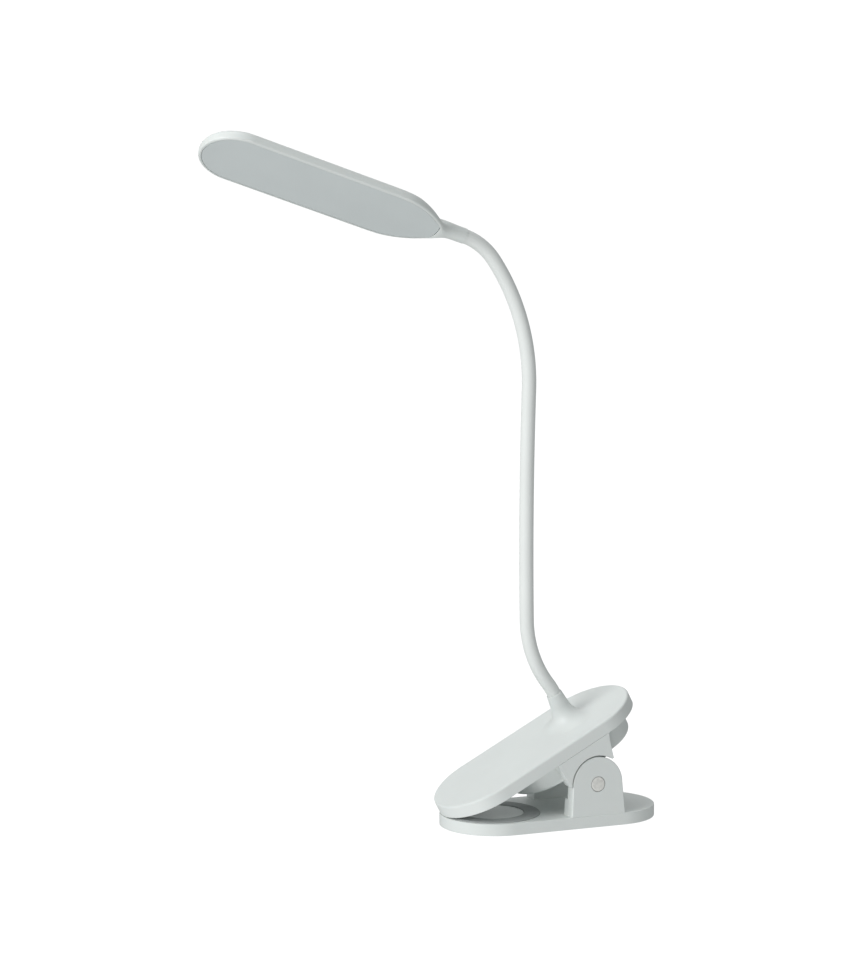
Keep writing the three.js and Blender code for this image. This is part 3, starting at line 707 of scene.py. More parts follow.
def frosted_panel(name, colour):
    """Frosted acrylic: an even satin face with a faint cloud, a very fine frost, a painted highlight along its
    edges and painted shade in its corners.
    """
    sizes, _, _ = settings()
    finish = Finish(name)
    cloud = finish.noise(22, 2.0)
    frost = finish.noise(3400, 2.0, 0.6)
    edge = finish.edges(sizes.highlight_band * 0.6)
    corner = finish.corner_shade_mask(0.002)
    body = finish.drift(cloud, colour, 0.97, 1.02)
    # Painted highlight: the colour is lifted along the outward edges.
    body = finish.mix(edge * 0.35, body, tinted(colour, 1.16))
    # Painted shade: the colour is darkened deep in the corners.
    body = finish.mix(corner * 0.25, body, tinted(colour, 0.6))
    rough = 0.46 + (finish.noise(140, 3.0) - 0.5) * 0.12
    finish.set(Base_Color=body, Roughness=rough.clipped(), IOR=1.49,
               Normal=finish.bump(frost, 0.00003, 0.5))
    finish.shader.inputs["Subsurface Weight"].default_value = 0.12
    finish.shader.inputs["Subsurface Radius"].default_value = (0.002, 0.002, 0.002)
    return finish.material


def rubber(name, colour):
    """Matte rubber with a coarse grain, pale dusty lint and painted shade in the corners."""
    finish = Finish(name)
    cloud = finish.noise(60, 4.0, 0.6)
    grain = finish.noise(1500, 3.0, 0.6)
    lint = finish.specks(640, 0.07)
    corner = finish.corner_shade_mask(0.003)
    body = finish.drift(cloud, colour, 0.88, 1.2, 0.35, 0.75)
    body = finish.mix(lint * 0.12, body, (0.6, 0.6, 0.58))
    # Painted shade: the colour is darkened deep in the corners.
    body = finish.mix(corner * 0.25, body, tinted(colour, 0.6))
    rough = 0.74 + (cloud - 0.5) * 0.2
    finish.set(Base_Color=body, Roughness=rough.clipped(), IOR=1.5,
               Normal=finish.bump(grain, 0.00009, 0.7))
    return finish.material


def brushed_metal(name, colour, roughness, brush=(1, 1, 14), metallic=1.0):
    """Metal with fine parallel brushing, a mottled tone, a painted highlight along its edges and painted shade in
    its corners.
    """
    sizes, _, _ = settings()
    finish = Finish(name)
    lines = finish.noise(900, 3.0, 0.7, finish.scaled(*brush))
    mottle = finish.noise(420, 4.0, 0.65)
    edge = finish.edges(sizes.highlight_band * 0.6)
    corner = finish.corner_shade_mask(0.002)
    body = finish.drift(mottle, colour, 0.84, 1.08, 0.35, 0.65)
    body = finish.mix(lines * 0.35, body, tinted(colour, 1.15))
    # Painted highlight: the colour is lifted along the outward edges.
    body = finish.mix(edge * 0.4, body, tinted(colour, 1.3))
    # Painted shade: the colour is darkened deep in the corners.
    body = finish.mix(corner * 0.5, body, tinted(colour, 0.35))
    rough = roughness + (lines - 0.5) * 0.22 + (mottle - 0.5) * 0.15
    finish.set(Base_Color=body, Roughness=rough.clipped(), Metallic=metallic,
               Normal=finish.bump(lines * 0.7 + mottle * 0.3, 0.00004, 0.6))
    return finish.material


def board_finish(name, colour, track):
    """Solder mask over copper: fine tracks under a glossy coat."""
    finish = Finish(name)
    mesh = finish.noise(700, 1.0, 0.3, finish.scaled(1, 6, 1))
    tracks = finish.ramp(mesh, (0.52, 0), (0.54, 1))
    cloud = finish.noise(90, 3.0)
    body = finish.mix(tracks, colour, track)
    body = finish.mix(finish.ramp(cloud, (0.4, 0), (0.7, 0.3)), body, tinted(colour, 0.7))
    finish.set(Base_Color=body, Roughness=(0.34 + (cloud - 0.5) * 0.15).clipped(),
               Normal=finish.bump(tracks, 0.00004, 0.6))
    return finish.material


def foil_finish(name, colour):
    """Crinkled shrink wrap round a battery cell."""
    finish = Finish(name)
    crinkle = finish.noise(160, 5.0, 0.65, finish.scaled(0.4, 1, 1))
    cloud = finish.noise(40, 3.0)
    body = finish.drift(cloud, colour, 0.8, 1.2, 0.35, 0.7)
    finish.set(Base_Color=body, Roughness=(0.3 + (crinkle - 0.5) * 0.25).clipped(),
               Normal=finish.bump(crinkle, 0.0003, 0.6))
    return finish.material


def finishes():
    """The lamp's materials, made once."""
    if not FINISHES:
        _, colours, _ = settings()
        FINISHES.update({
            "white_shell": moulded_plastic("Moulded white plastic", colours.shell),
            "white_sleeve": silicone("White silicone", colours.sleeve),
            "frosted_diffuser": frosted_panel("Frosted panel", colours.panel),
            "grey_rubber": rubber("Grey rubber", colours.rubber),
            "bright_steel": brushed_metal("Brushed steel", colours.steel, 0.38, metallic=0.3),
            "core_steel": brushed_metal("Oiled spring steel", (0.34, 0.345, 0.35), 0.38, (14, 1, 1)),
            "brass": brushed_metal("Turned brass", (0.62, 0.48, 0.22), 0.3),
            "board_green": board_finish("Circuit board", (0.02, 0.12, 0.06), (0.05, 0.22, 0.11)),
            "led_white": board_finish("White board", (0.78, 0.79, 0.77), (0.7, 0.72, 0.7)),
            "battery_foil": foil_finish("Battery wrap", (0.08, 0.2, 0.42)),
        })
    return FINISHES


FINISHES = {}


# ---- Foot -------------------------------------------------------------------

def ear_outline(inset, top=None):
    """Ear seen from the side: an arch about the pin, or its flanks cut off level at top."""
    low = FOOT_TOP - BURY
    radius = EAR_RADIUS - inset
    if top is None:
        crown = turn_points(PIN.x, PIN.z, radius, 0, 180, 56)
    else:
        share = (PIN.z - top) / (PIN.z - FOOT_TOP)
        crown = [(PIN.x + radius + EAR_FLARE_BACK * share, top - inset),
                 (PIN.x - radius - EAR_FLARE_FRONT * share, top - inset)]
    return [(PIN.x + radius + EAR_FLARE_BACK, low), *crown, (PIN.x - radius - EAR_FLARE_FRONT, low)]


def ear_shape(side, thick, top=None):
    """Ear with rounded edges on both faces."""
    outer = HALF_WIDTH - EAR_SET_BACK
    inner = HALF_WIDTH - thick
    depths = edge_profile(inner, outer, EAR_EDGE, EAR_EDGE, 4)
    rings = [[Vector((x, side * y, z)) for x, z in ear_outline(inset, top)] for inset, y in depths]
    return loft(rings)


def rod_along_y(radius, y_low, y_high, x, z, sides=72):
    return moved(along_y(lathe([(radius, y_low), (radius, y_high)], sides)), x, 0, z)


def ring_place():
    low, high = cad_box("foot_grip_ring")
    return (low.x + high.x) / 2, (high.x - low.x) / 2


def build_foot():
    sizes, _, _ = settings()
    profile = edge_profile(FOOT_LOW.z, FOOT_TOP, FOOT_LOW_EDGE, sizes.plate_edge / MM)
    foot = add_piece("foot_moulding", stadium_slab(PLATE_LENGTH, PLATE_WIDTH, 0, profile, 56))
    ears = []
    for side in (1, -1):
        ears += [ear_shape(side, EAR_THICK), ear_shape(side, EAR_STEP_THICK, EAR_STEP_TOP)]
    combine(foot, "UNION", ears)
    ring_x, ring_outer = ring_place()
    ring_inner = ring_outer - RING_WIDTH
    seat_floor = FOOT_TOP - RING_DEEP - GAP
    seat_rings = [circle_ring(radius, z, ring_x, sides=120) for radius, z in (
        (ring_outer + GAP, seat_floor), (ring_outer + GAP, FOOT_TOP + PAST),
        (ring_inner - GAP, FOOT_TOP + PAST), (ring_inner - GAP, seat_floor))]
    hollow = stadium_slab(PLATE_LENGTH - 2 * FOOT_WALL, PLATE_WIDTH - 2 * FOOT_WALL, 0,
                          [(0, FOOT_LOW.z - PAST), (0, FOOT_TOP - FOOT_ROOF)])
    cutters = [loft(seat_rings, closed=True), hollow,
               rod_along_y(PIN_RADIUS + PIN_PLAY, -HALF_WIDTH - PAST, HALF_WIDTH + PAST, PIN.x, PIN.z)]
    for side in (1, -1):
        ends = either_side(side, HALF_WIDTH - PIN_HEAD_THICK - GAP, HALF_WIDTH + PAST)
        cutters.append(rod_along_y(PIN_HEAD_RADIUS + GAP, *ends, PIN.x, PIN.z))
    combine(foot, "DIFFERENCE", cutters)
    flatten_faces(foot)
    round_edges(foot, 0.15, 2, 50)
    dress(foot, "white_shell", "foot", ["foot_shell"])


def build_foot_rubber():
    ring_x, outer = ring_place()
    inner = outer - RING_WIDTH
    low, high = FOOT_TOP - RING_DEEP, FOOT_TOP + RING_PROUD
    wall = edge_profile(low, high, RING_EDGE, RING_EDGE, 4)
    rings = [circle_ring(outer - inset, z, ring_x, sides=144) for inset, z in wall]
    rings += [circle_ring(inner + inset, z, ring_x, sides=144) for inset, z in reversed(wall)]
    ring = add_piece("grip_ring", loft(rings, closed=True))
    dress(ring, "grey_rubber", "foot", ["foot_grip_ring"])
    low, high = cad_box("foot_pad")
    profile = edge_profile(low.z, high.z, 0.3, 0.2, 3)
    sole = add_piece("foot_sole", stadium_slab(high.x - low.x, high.y - low.y, 0, profile))
    dress(sole, "grey_rubber", "foot", ["foot_pad"])


# ---- Hinge ------------------------------------------------------------------

def pin_head_profile(face, inner):
    """(radius, place along the pin) from the middle of the domed face to the shoulder."""
    out = math.copysign(1, face - inner)
    edge = PIN_EDGE
    dome = [(PIN_HEAD_RADIUS * share, face - out * PIN_DOME * share ** 2) for share in (0.02, 0.3, 0.6, 0.8)]
    rim = face - out * PIN_DOME
    return dome + [(PIN_HEAD_RADIUS - edge, rim), (PIN_HEAD_RADIUS - edge * 0.3, rim - out * edge * 0.3),
                   (PIN_HEAD_RADIUS, rim - out * edge), (PIN_HEAD_RADIUS, inner)]


def build_hinge():
    near = -HALF_WIDTH
    far_end = cad_box("hinge_pin")[1].y
    profile = pin_head_profile(near, near + PIN_HEAD_THICK)
    profile += [(PIN_RADIUS, near + PIN_HEAD_THICK), (PIN_RADIUS, far_end)]
    pin = add_piece("hinge_rivet", moved(along_y(lathe(profile, 72)), PIN.x, 0, PIN.z))
    dress(pin, "bright_steel", "foot", ["hinge_pin"])
    cap_profile = pin_head_profile(HALF_WIDTH, HALF_WIDTH - PIN_HEAD_THICK)
    cap = add_piece("hinge_rivet_cap", moved(along_y(lathe(cap_profile, 72)), PIN.x, 0, PIN.z))
    dress(cap, "bright_steel", "foot", ["hinge_pin_cap"])


def spring_route():
    """Centreline of the torsion spring: foot leg, coil along +Y, jaw leg."""
    start = SPRING_FOOT_ANGLE + 90
    sweep = 360 * SPRING_TURNS + (SPRING_JAW_ANGLE - SPRING_FOOT_ANGLE - 180) % 360
    span = SPRING_PITCH * sweep / 360
    count = round(sweep / 12)

    def on_coil(share):
        angle = math.radians(start + sweep * share)
        around = Vector((math.cos(angle), 0, math.sin(angle)))
        return PIN + SPRING_COIL * around + Vector((0, span * (share - 0.5), 0))

    def leg(share, reach, degrees):
        angle = math.radians(degrees)
        return on_coil(share) + reach * Vector((math.cos(angle), 0, math.sin(angle)))

    foot_leg = [leg(0, SPRING_FOOT_LEG * part, SPRING_FOOT_ANGLE) for part in (1, 0.75, 0.5, 0.25)]
    coil = [on_coil(i / count) for i in range(count + 1)]
    jaw_leg = [leg(1, SPRING_JAW_LEG * part, SPRING_JAW_ANGLE) for part in (0.25, 0.5, 0.75, 1)]
    return foot_leg + coil + jaw_leg, span


def route_frames(points):
    """(point, across, up) along a route, across kept as near +Y as the route lets it."""
    frames = []
    for i, point in enumerate(points):
        ahead = points[min(i + 1, len(points) - 1)] - points[max(i - 1, 0)]
        ahead.normalize()
        across = (Vector((0, 1, 0)) - ahead * ahead.y).normalized()
        frames.append((point, across, ahead.cross(across)))
    return frames


def build_spring():
    points, span = spring_route()
    spring = add_piece("torsion_spring", loft(tube_rings(route_frames(points), SPRING_WIRE, 14)))
    dress(spring, "core_steel", replaces=["hinge_spring"])
    reach = Vector((0, span / 2, 0))
    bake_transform(spring)


# ---- Jaw --------------------------------------------------------------------

def cover_top_rings(edge):
    """Outer skin of the cover from its lower rim to the flat top."""
    profile = edge_profile(COVER_UNDER, COVER_UPPER, COVER_LOW_EDGE, edge, 8)
    return [stadium_ring(PLATE_LENGTH, PLATE_WIDTH, COVER_X, inset, z, 56) for inset, z in profile]


def boss_rings():
    """The flared boss, from the flat top up to its mouth and down into the sleeve's socket."""
    radius = BOSS_MOUTH_RADIUS + BOSS_FLARE
    foot = turn_points(radius + BOSS_FILLET, COVER_UPPER + BOSS_FILLET, BOSS_FILLET, 270, 180, 18)
    lip = BOSS_MOUTH - BOSS_MOUTH_EDGE
    waist = foot[-1][1]
    taper = []
    for i in range(1, 7):
        share = i / 6
        taper.append((radius - BOSS_FLARE * share, waist + (lip - waist) * share))
    mouth = [(BOSS_MOUTH_RADIUS - BOSS_MOUTH_EDGE * 0.3, BOSS_MOUTH - BOSS_MOUTH_EDGE * 0.3),
             (NECK_RADIUS + 0.22, BOSS_MOUTH), (NECK_RADIUS + 0.12, BOSS_MOUTH - 0.12),
             (NECK_RADIUS + 0.12, BOSS_MOUTH - BOSS_SOCKET_DEEP)]
    return [circle_ring(r, z, BOSS_X, sides=96) for r, z in foot + taper + mouth]


def dimple_rings():
    """Shallow touch key in the flat top, from its rim inwards."""
    rings = []
    for i in range(9):
        share = 1 - i / 9
        sink = TOUCH_DEEP * (1 + math.cos(math.pi * share)) / 2
        rings.append(circle_ring(TOUCH_RADIUS * share, COVER_UPPER - sink, TOUCH_X, TOUCH_Y, sides=40))
    return rings


def loop_edges(shape, verts):
    return [shape.edges.get((a, b)) or shape.edges.new((a, b)) for a, b in zip(verts, verts[1:] + verts[:1])]


def build_cover():
    sizes, _, _ = settings()
    inner = [stadium_ring(PLATE_LENGTH, PLATE_WIDTH, COVER_X, COVER_WALL, z, 56)
             for z in (COVER_UNDER + COVER_LOW_EDGE, COVER_UPPER - COVER_TOP_WALL)]
    rim = stadium_ring(PLATE_LENGTH, PLATE_WIDTH, COVER_X, COVER_WALL - COVER_LOW_EDGE, COVER_UNDER, 56)
    outer = cover_top_rings(sizes.cover_edge / MM)
    shape = bmesh.new()
    edges = []
    for rings in (outer[::-1] + [rim] + inner, boss_rings(), dimple_rings()):
        rows = add_rings(shape, rings)
        shape.faces.new(rows[-1])
        edges += loop_edges(shape, rows[0])
    bmesh.ops.triangle_fill(shape, edges=edges, use_beauty=True, use_dissolve=False)
    bmesh.ops.recalc_face_normals(shape, faces=shape.faces)
    cover = add_piece("cover_moulding", shape, JAW)
    bore = moved(lathe([(NECK_BORE - 0.6, COVER_UNDER), (NECK_BORE - 0.6, BOSS_MOUTH)], 48), BOSS_X)
    combine(cover, "DIFFERENCE", [bore], JAW)
    dress(cover, "white_shell", "jaw", ["jaw_cover"], 40)


def hood_outline():
    top = COVER_UNDER - 0.05
    return [(-HOOD_FRONT - HOOD_FRONT_LEAN, top), (-HOOD_FRONT, HOOD_FRONT_LOW),
            (HOOD_BACK - HOOD_NOSE_WIDTH, HOOD_BACK_LOW), (HOOD_BACK, HOOD_BACK_LOW + HOOD_NOSE_HEIGHT),
            (HOOD_BACK + HOOD_BACK_LEAN, top)]


def cheek_outline():
    top = BUMP_UNDER + BUMP_EDGE + BURY
    return [*turn_points(0, 0, CHEEK_RADIUS, 180, 360, 32), (CHEEK_TOP_HALF, top), (-CHEEK_TOP_HALF, top)]


def socket_bar(grow, x_low, x_high):
    """Round-ended bar along the jaw, for the charging socket and its opening."""
    bar = stadium_slab(PORT_WIDTH + 2 * grow, PORT_HEIGHT + 2 * grow, 0, [(0, x_low), (0, x_high)], 16)
    bar.transform(Matrix.Translation((0, 0, PORT_Z)) @ Matrix.Rotation(math.pi / 2, 4, "Y")
                  @ Matrix.Rotation(math.pi / 2, 4, "Z"))
    return bar


def jaw_screw_places():
    tip = SCREW_FROM_TIP - TIP_REACH
    tail = PLATE_LENGTH - TIP_REACH - SCREW_FROM_TAIL
    side = HALF_WIDTH - SCREW_FROM_SIDE
    return [(tip, side), (tip, -side), (tail, SCREW_TAIL_Y), (tail, -SCREW_TAIL_Y)]


def build_case():
    inset = 2 * (COVER_WALL + GAP)
    lid = stadium_slab(PLATE_LENGTH - inset, PLATE_WIDTH - inset, COVER_X,
                       [(0, COVER_UNDER), (0, COVER_UNDER + LID_THICK)], 48)
    case = add_piece("case_moulding", lid, JAW)
    bump_profile = edge_profile(BUMP_UNDER, COVER_UNDER + BURY + 1, BUMP_EDGE, 0.01, 8)
    bump = stadium_slab(BUMP_LENGTH, PLATE_WIDTH - 2 * BUMP_FROM_SIDE, BUMP_X, bump_profile, 48)
    slot_inner = HALF_WIDTH - EAR_THICK - GAP
    joined, cutters = [bump], []
    for side in (1, -1):
        hood_ends = either_side(side, slot_inner - BURY, HALF_WIDTH)
        joined.append(prism_along_y(hood_outline(), *hood_ends))
        tie = either_side(side, slot_inner - BURY, HALF_WIDTH - COVER_WALL - GAP)
        joined.append(box_shape((-HOOD_FRONT, tie[0], COVER_UNDER - BURY),
                                (HOOD_BACK, tie[1], COVER_UNDER + BURY)))
        cheek_ends = either_side(side, slot_inner - CHEEK_THICK, slot_inner)
        joined.append(prism_along_y(cheek_outline(), *cheek_ends))
        slot_ends = either_side(side, slot_inner, HALF_WIDTH + PAST)
        cutters.append(rod_along_y(EAR_RADIUS + HOOD_GAP, *slot_ends, 0, 0, 120))
    combine(case, "UNION", joined, JAW)
    cutters.append(rod_along_y(PIN_RADIUS + PIN_PLAY, -HALF_WIDTH, HALF_WIDTH, 0, 0, 48))
    for x, y in jaw_screw_places():
        bores = ((SCREW_HEAD, SCREW_HEAD_THICK + GAP, 32), (SCREW_SHANK, LID_THICK + PAST, 24))
        for radius, top, sides in bores:
            hole = [(radius + GAP, COVER_UNDER - PAST), (radius + GAP, COVER_UNDER + top)]
            cutters.append(moved(lathe(hole, sides), x, y))
    mouth = BUMP_X + BUMP_LENGTH / 2 - PORT_INSET
    cutters.append(socket_bar(GAP, mouth - PORT_DEEP - GAP, mouth + PAST))
    combine(case, "DIFFERENCE", cutters, JAW)
    flatten_faces(case)
    round_edges(case, CASE_EDGE, 3, 45)
    dress(case, "white_shell", "jaw", ["jaw_case"], 40)


def build_grip_pad():
    top = COVER_UNDER - GAP
    groove_floor = top - GRIP_THICK + GRIP_GROOVE
    pad = add_piece("jaw_pad", stadium_slab(GRIP_LENGTH, GRIP_WIDTH, GRIP_X,
                                            edge_profile(top - GRIP_THICK, top, 0.25, 0.1, 3)), JAW)
    grooves = []
    count = int(GRIP_LENGTH / GRIP_RIB_PITCH) - 2
    for i in range(count):
        x = GRIP_X + GRIP_RIB_PITCH * (i - (count - 1) / 2)
        half = (GRIP_RIB_PITCH - GRIP_RIB) / 4
        grooves.append(box_shape((x - half, -GRIP_WIDTH, top - GRIP_THICK - PAST),
                                 (x + half, GRIP_WIDTH, groove_floor)))
    combine(pad, "DIFFERENCE", grooves, JAW)
    dress(pad, "grey_rubber", "jaw", ["jaw_grip_pad"])


def build_jaw_screws():
    length = COVER_THICK - 1 - 2 * GAP
    for number, (x, y) in enumerate(jaw_screw_places(), 1):
        steps = [(SCREW_HEAD - SCREW_EDGE, 0), (SCREW_HEAD, SCREW_EDGE), (SCREW_HEAD, SCREW_HEAD_THICK / 2),
                 (SCREW_SHANK, SCREW_HEAD_THICK), (SCREW_SHANK, length - SCREW_POINT), (0.05, length)]
        profile = [(radius, COVER_UNDER + rise) for radius, rise in steps]
        screw = add_piece(f"case_screw_{number}", moved(lathe(profile, 32), x, y), JAW)
        slots = []
        for wide, deep in ((SCREW_HEAD * 0.6, SCREW_SLOT / 2), (SCREW_SLOT / 2, SCREW_HEAD * 0.6)):
            slots.append(box_shape((x - wide, y - deep, COVER_UNDER - PAST),
                                   (x + wide, y + deep, COVER_UNDER + SCREW_SLOT_DEEP)))
        combine(screw, "DIFFERENCE", slots, JAW)
        dress(screw, "bright_steel", "jaw", [f"jaw_screw_{number}"])


def build_socket():
    mouth = BUMP_X + BUMP_LENGTH / 2 - PORT_INSET
    back = mouth - PORT_DEEP
    can = add_piece("charging_socket", socket_bar(0, back, mouth), JAW)
    inner = socket_bar(-PORT_WALL, back + 2 * PORT_WALL, mouth + PAST)
    combine(can, "DIFFERENCE", [inner], JAW)
    tongue = box_shape((back + PORT_WALL, -PORT_WIDTH / 3, PORT_Z - PORT_WALL),
                       (mouth - PORT_INSET, PORT_WIDTH / 3, PORT_Z + PORT_WALL))
    combine(can, "UNION", [tongue], JAW)
    round_edges(can, 0.1, 2, 50)
    dress(can, "bright_steel", "jaw", ["charge_port"])


# ---- Neck -------------------------------------------------------------------

def neck_frames(start, end):
    count = math.ceil((end - start) / NECK_STEP)
    frames = []
    for i in range(count + 1):
        place, heading = neck_at(start + (end - start) * i / count)
        frames.append((place, Vector((math.cos(heading), 0, -math.sin(heading))), Vector((0, 1, 0))))
    return frames


def build_neck():
    """One length of sleeve for each joint, from the middle of one link to the middle of the next."""
    count = len(NECK_JOINTS)
    for i, joint_name in enumerate(NECK_JOINTS):
        pivot = FIRST_JOINT + JOINT_SPACING * i
        start = 1 - BOSS_SOCKET_DEEP if i == 0 else pivot - JOINT_SPACING / 2
        end = NECK_LENGTH + COLLAR_SOCKET_DEEP - GAP if i == count - 1 else pivot + JOINT_SPACING / 2
        frames = neck_frames(start, end)
        rings = tube_rings(frames, NECK_RADIUS, NECK_SIDES)
        rings += tube_rings(frames, NECK_BORE, NECK_SIDES)[::-1]
        sleeve = add_piece(f"neck_hose_{i + 1}", loft(rings, closed=True))
        nodes = [f"neck_sleeve_{i + 1}"]
        if i == count - 1:
            nodes.append(f"neck_sleeve_{i + 2}")
        dress(sleeve, "white_sleeve", replaces=nodes)
        first = neck_at(max(start, 0) + BLEND_REST)[0]
        last = neck_at(min(end, NECK_LENGTH) - BLEND_REST)[0]
        first * MM
        last * MM
        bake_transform(sleeve)


# ---- Head -------------------------------------------------------------------

def spline_point(points, share):
    """Point on a Catmull-Rom curve through points, share from 0 to 1."""
    place = (len(points) - 1) * share
    i = min(int(place), len(points) - 2)
    t = place - i
    a, b = points[max(i - 1, 0)], points[i]
    c, d = points[i + 1], points[min(i + 2, len(points) - 1)]

    def along(k):
        start, end = (c[k] - a[k]) / 2, (d[k] - b[k]) / 2
        return ((2 * b[k] - 2 * c[k] + start + end) * t ** 3
                + (3 * c[k] - 3 * b[k] - 2 * start - end) * t ** 2 + start * t + b[k])

    return along(0), along(1)


TAPER = [spline_point(HEAD_TAPER, i / 56) for i in range(57)]


def smooth_between(x, ends, low, high):
    share = min(1.0, max(0.0, (x - ends[0]) / (ends[1] - ends[0])))
    return low + (high - low) * share * share * (3 - 2 * share)


def head_section(x, half):
    """Half of the cross-section as (across, height above the lit face), from below to above."""
    thick = smooth_between(x, EDGE_RISE, HEAD_REAR_THICK, HEAD_EDGE_THICK)
    top = smooth_between(x, RIDGE_SINK, HEAD_NECK_DROP + HEAD_TAPER[0][1], HEAD_BACK_THICK)
    low_radius = min(HEAD_LOW_EDGE, thick * LOW_EDGE_SHARE)
    top_radius = min(HEAD_TOP_EDGE, thick * TOP_EDGE_SHARE)
    flat = half - top_radius
    ridge = smooth_between(x, RIDGE_SPREAD, min(flat, RIDGE_HALF), flat)
    plate = [(0, 0), *turn_points(half - low_radius, low_radius, low_radius, 270, 360, 8),
             *turn_points(half - top_radius, thick - top_radius, top_radius, 0, 90, 11)]
    crown_steps = 16
    for i in range(1, crown_steps + 1):
        across = flat * (1 - i / crown_steps)
        rise = math.cos(math.pi / 2 * min(1.0, across / ridge)) ** 2
        plate.append((across, thick + (top - thick) * rise))
    turn = smooth_between(x, COLLAR_TURN, 1, 0)
    section = []
    for k, (across, height) in enumerate(plate):
        angle = math.pi * (k / (len(plate) - 1) - 0.5)
        collar = (half * math.cos(angle), HEAD_NECK_DROP + half * math.sin(angle))
        section.append((across + (collar[0] - across) * turn, height + (collar[1] - height) * turn))
    return section


def head_body():
    def rib(x, half, angle):
        return [Vector((x + across * math.cos(angle), across * math.sin(angle), height - HEAD_NECK_DROP))
                for across, height in head_section(x, half)]

    near = [rib(x, half, math.pi / 2) for x, half in TAPER]
    far = [rib(x, half, -math.pi / 2) for x, half in reversed(TAPER)]
    tip = [rib(HEAD_TIP, HEAD_HALF, math.pi * (0.5 - i / 48)) for i in range(49)]
    ribs = near + tip + far
    rings = [[rib_points[k] for rib_points in ribs] for k in range(len(ribs[0]))]
    shape = loft(rings, capped=False)
    bmesh.ops.remove_doubles(shape, verts=shape.verts, dist=0.001)
    open_edges = [edge for edge in shape.edges if edge.is_boundary]
    if open_edges:
        bmesh.ops.holes_fill(shape, edges=open_edges)
    bmesh.ops.recalc_face_normals(shape, faces=shape.faces)
    return shape


def diffuser_outline(inset):
    """Light panel's outline, going round from the far side of the tip."""
    end = DIFFUSER_END - RIM_WIDTH + inset
    points = turn_points(HEAD_TIP, 0, HEAD_HALF - inset, -90, 90, 48)
    flank = [(x, half - inset) for x, half in reversed(TAPER) if x > end + DIFFUSER_CORNER]
    corner = flank[-1][1] - DIFFUSER_CORNER
    points += flank
    for i in range(13):
        t = i / 12
        points.append((end - 4 * DIFFUSER_BOW * t * (1 - t), corner * (1 - 2 * t)))
    points += [(x, -y) for x, y in reversed(flank)]
    return points


def panel_rings(profile):
    return [[Vector((x, y, z)) for x, y in diffuser_outline(inset)] for inset, z in profile]


def build_head_shell():
    lit = -HEAD_NECK_DROP
    shell = add_piece("head_moulding", head_body(), HEAD)
    floor = lit + DIFFUSER_THICK + GAP
    clear = RIM_WIDTH - DIFFUSER_GAP
    recess = loft(panel_rings([(clear, lit - PAST), (clear, floor)]))
    half = HEAD_HALF - HEAD_CAVITY_INSET
    length = HEAD_TIP + half - HEAD_CAVITY_END
    cavity = stadium_slab(length, 2 * half, HEAD_CAVITY_END + length / 2,
                          [(0, lit), (0, lit + HEAD_EDGE_THICK - HEAD_WALL)], 32)
    bore = lathe([(NECK_BORE - 0.8, -PAST), (NECK_BORE - 0.8, HEAD_CORE_DEEP)], 40)
    socket = lathe([(NECK_RADIUS + 0.1, -PAST), (NECK_RADIUS + 0.1, COLLAR_SOCKET_DEEP)], NECK_SIDES)
    for shape in (bore, socket):
        shape.transform(Matrix.Rotation(math.pi / 2, 4, "Y"))
    combine(shell, "DIFFERENCE", [recess, cavity, bore, socket], HEAD)
    dress(shell, "white_shell", "head", ["head_shell"], 40)


def build_diffuser():
    lit = -HEAD_NECK_DROP
    wall = edge_profile(lit, lit + DIFFUSER_THICK, DIFFUSER_EDGE, 0.1, 4)
    profile = [(RIM_WIDTH + inset, z) for inset, z in wall]
    panel = add_piece("light_panel", loft(panel_rings(profile)), HEAD)
    dress(panel, "frosted_diffuser", "head", ["diffuser"])


# ---- Parts carried over from the frame --------------------------------------

def finish_inner_parts():
    """Gives every node of the frame its own finish from the record's slots."""
    slots = {part["node"]: part["material_slot"] for part in frame["record"]["subparts"]}
    for name, node in frame["nodes"].items():
        material = finishes()[slots[name]]
        node.data.materials.clear()
        node.data.materials.append(material)


# ---- Stage ------------------------------------------------------------------

LIGHT_DIRECTIONS = {
    "key": (-0.88, -0.31, 0.42),
    "fill": (0.35, 0.85, 0.4),
    "top": (-0.1, 0.1, 1.0),
    "bounce": (-0.25, -0.45, -0.86),
}
LIGHT_SIZE = 1.5         # metres, as are the next three
LIGHT_DISTANCE = 2.5
FLOOR_RADIUS = 12.0
DOME_RADIUS = 14.0
FLOOR_SHADE = 0.3        # share of the floor's colour that takes the light; the rest is its glow
FLOOR_GLOW = 0.95
DOME_GLOW = 1.05
AIM_OFFSET = (-6.9, 0, 4.25)  # millimetres from the middle of the lamp's box
SENSOR_WIDTH = 36


def add_light(name, power, aim):
    lamp = bpy.data.lights.new(name.title(), "AREA")
    lamp.shape = "DISK"
    lamp.size = LIGHT_SIZE
    lamp.energy = power
    light = bpy.data.objects.new(name.title(), lamp)
    bpy.context.scene.collection.objects.link(light)
    way = Vector(LIGHT_DIRECTIONS[name]).normalized()
    light.location = aim + way * LIGHT_DISTANCE
    light.rotation_mode = "QUATERNION"
    light.rotation_quaternion = way.to_track_quat("Z", "Y")
    light.visible_camera = False


def add_backdrop(name, shape, colour, glow):
    """Glowing surface that the camera sees and that neither lights nor shades the lamp."""
    material = bpy.data.materials.new(name)
    material.use_nodes = True
    shader = material.node_tree.nodes["Principled BSDF"]
    look = {"Base Color": (*colour, 1), "Roughness": 0.9, "Specular IOR Level": 0,
            "Emission Color": (1, 1, 1, 1), "Emission Strength": glow}
    for key, value in look.items():
        shader.inputs[key].default_value = value
    mesh = bpy.data.meshes.new(name)
    shape.to_mesh(mesh)
    shape.free()
    mesh.materials.append(material)
    backdrop = bpy.data.objects.new(name, mesh)
    bpy.context.scene.collection.objects.link(backdrop)
    for ray in ("diffuse", "glossy", "transmission", "shadow"):
        setattr(backdrop, "visible_" + ray, False)


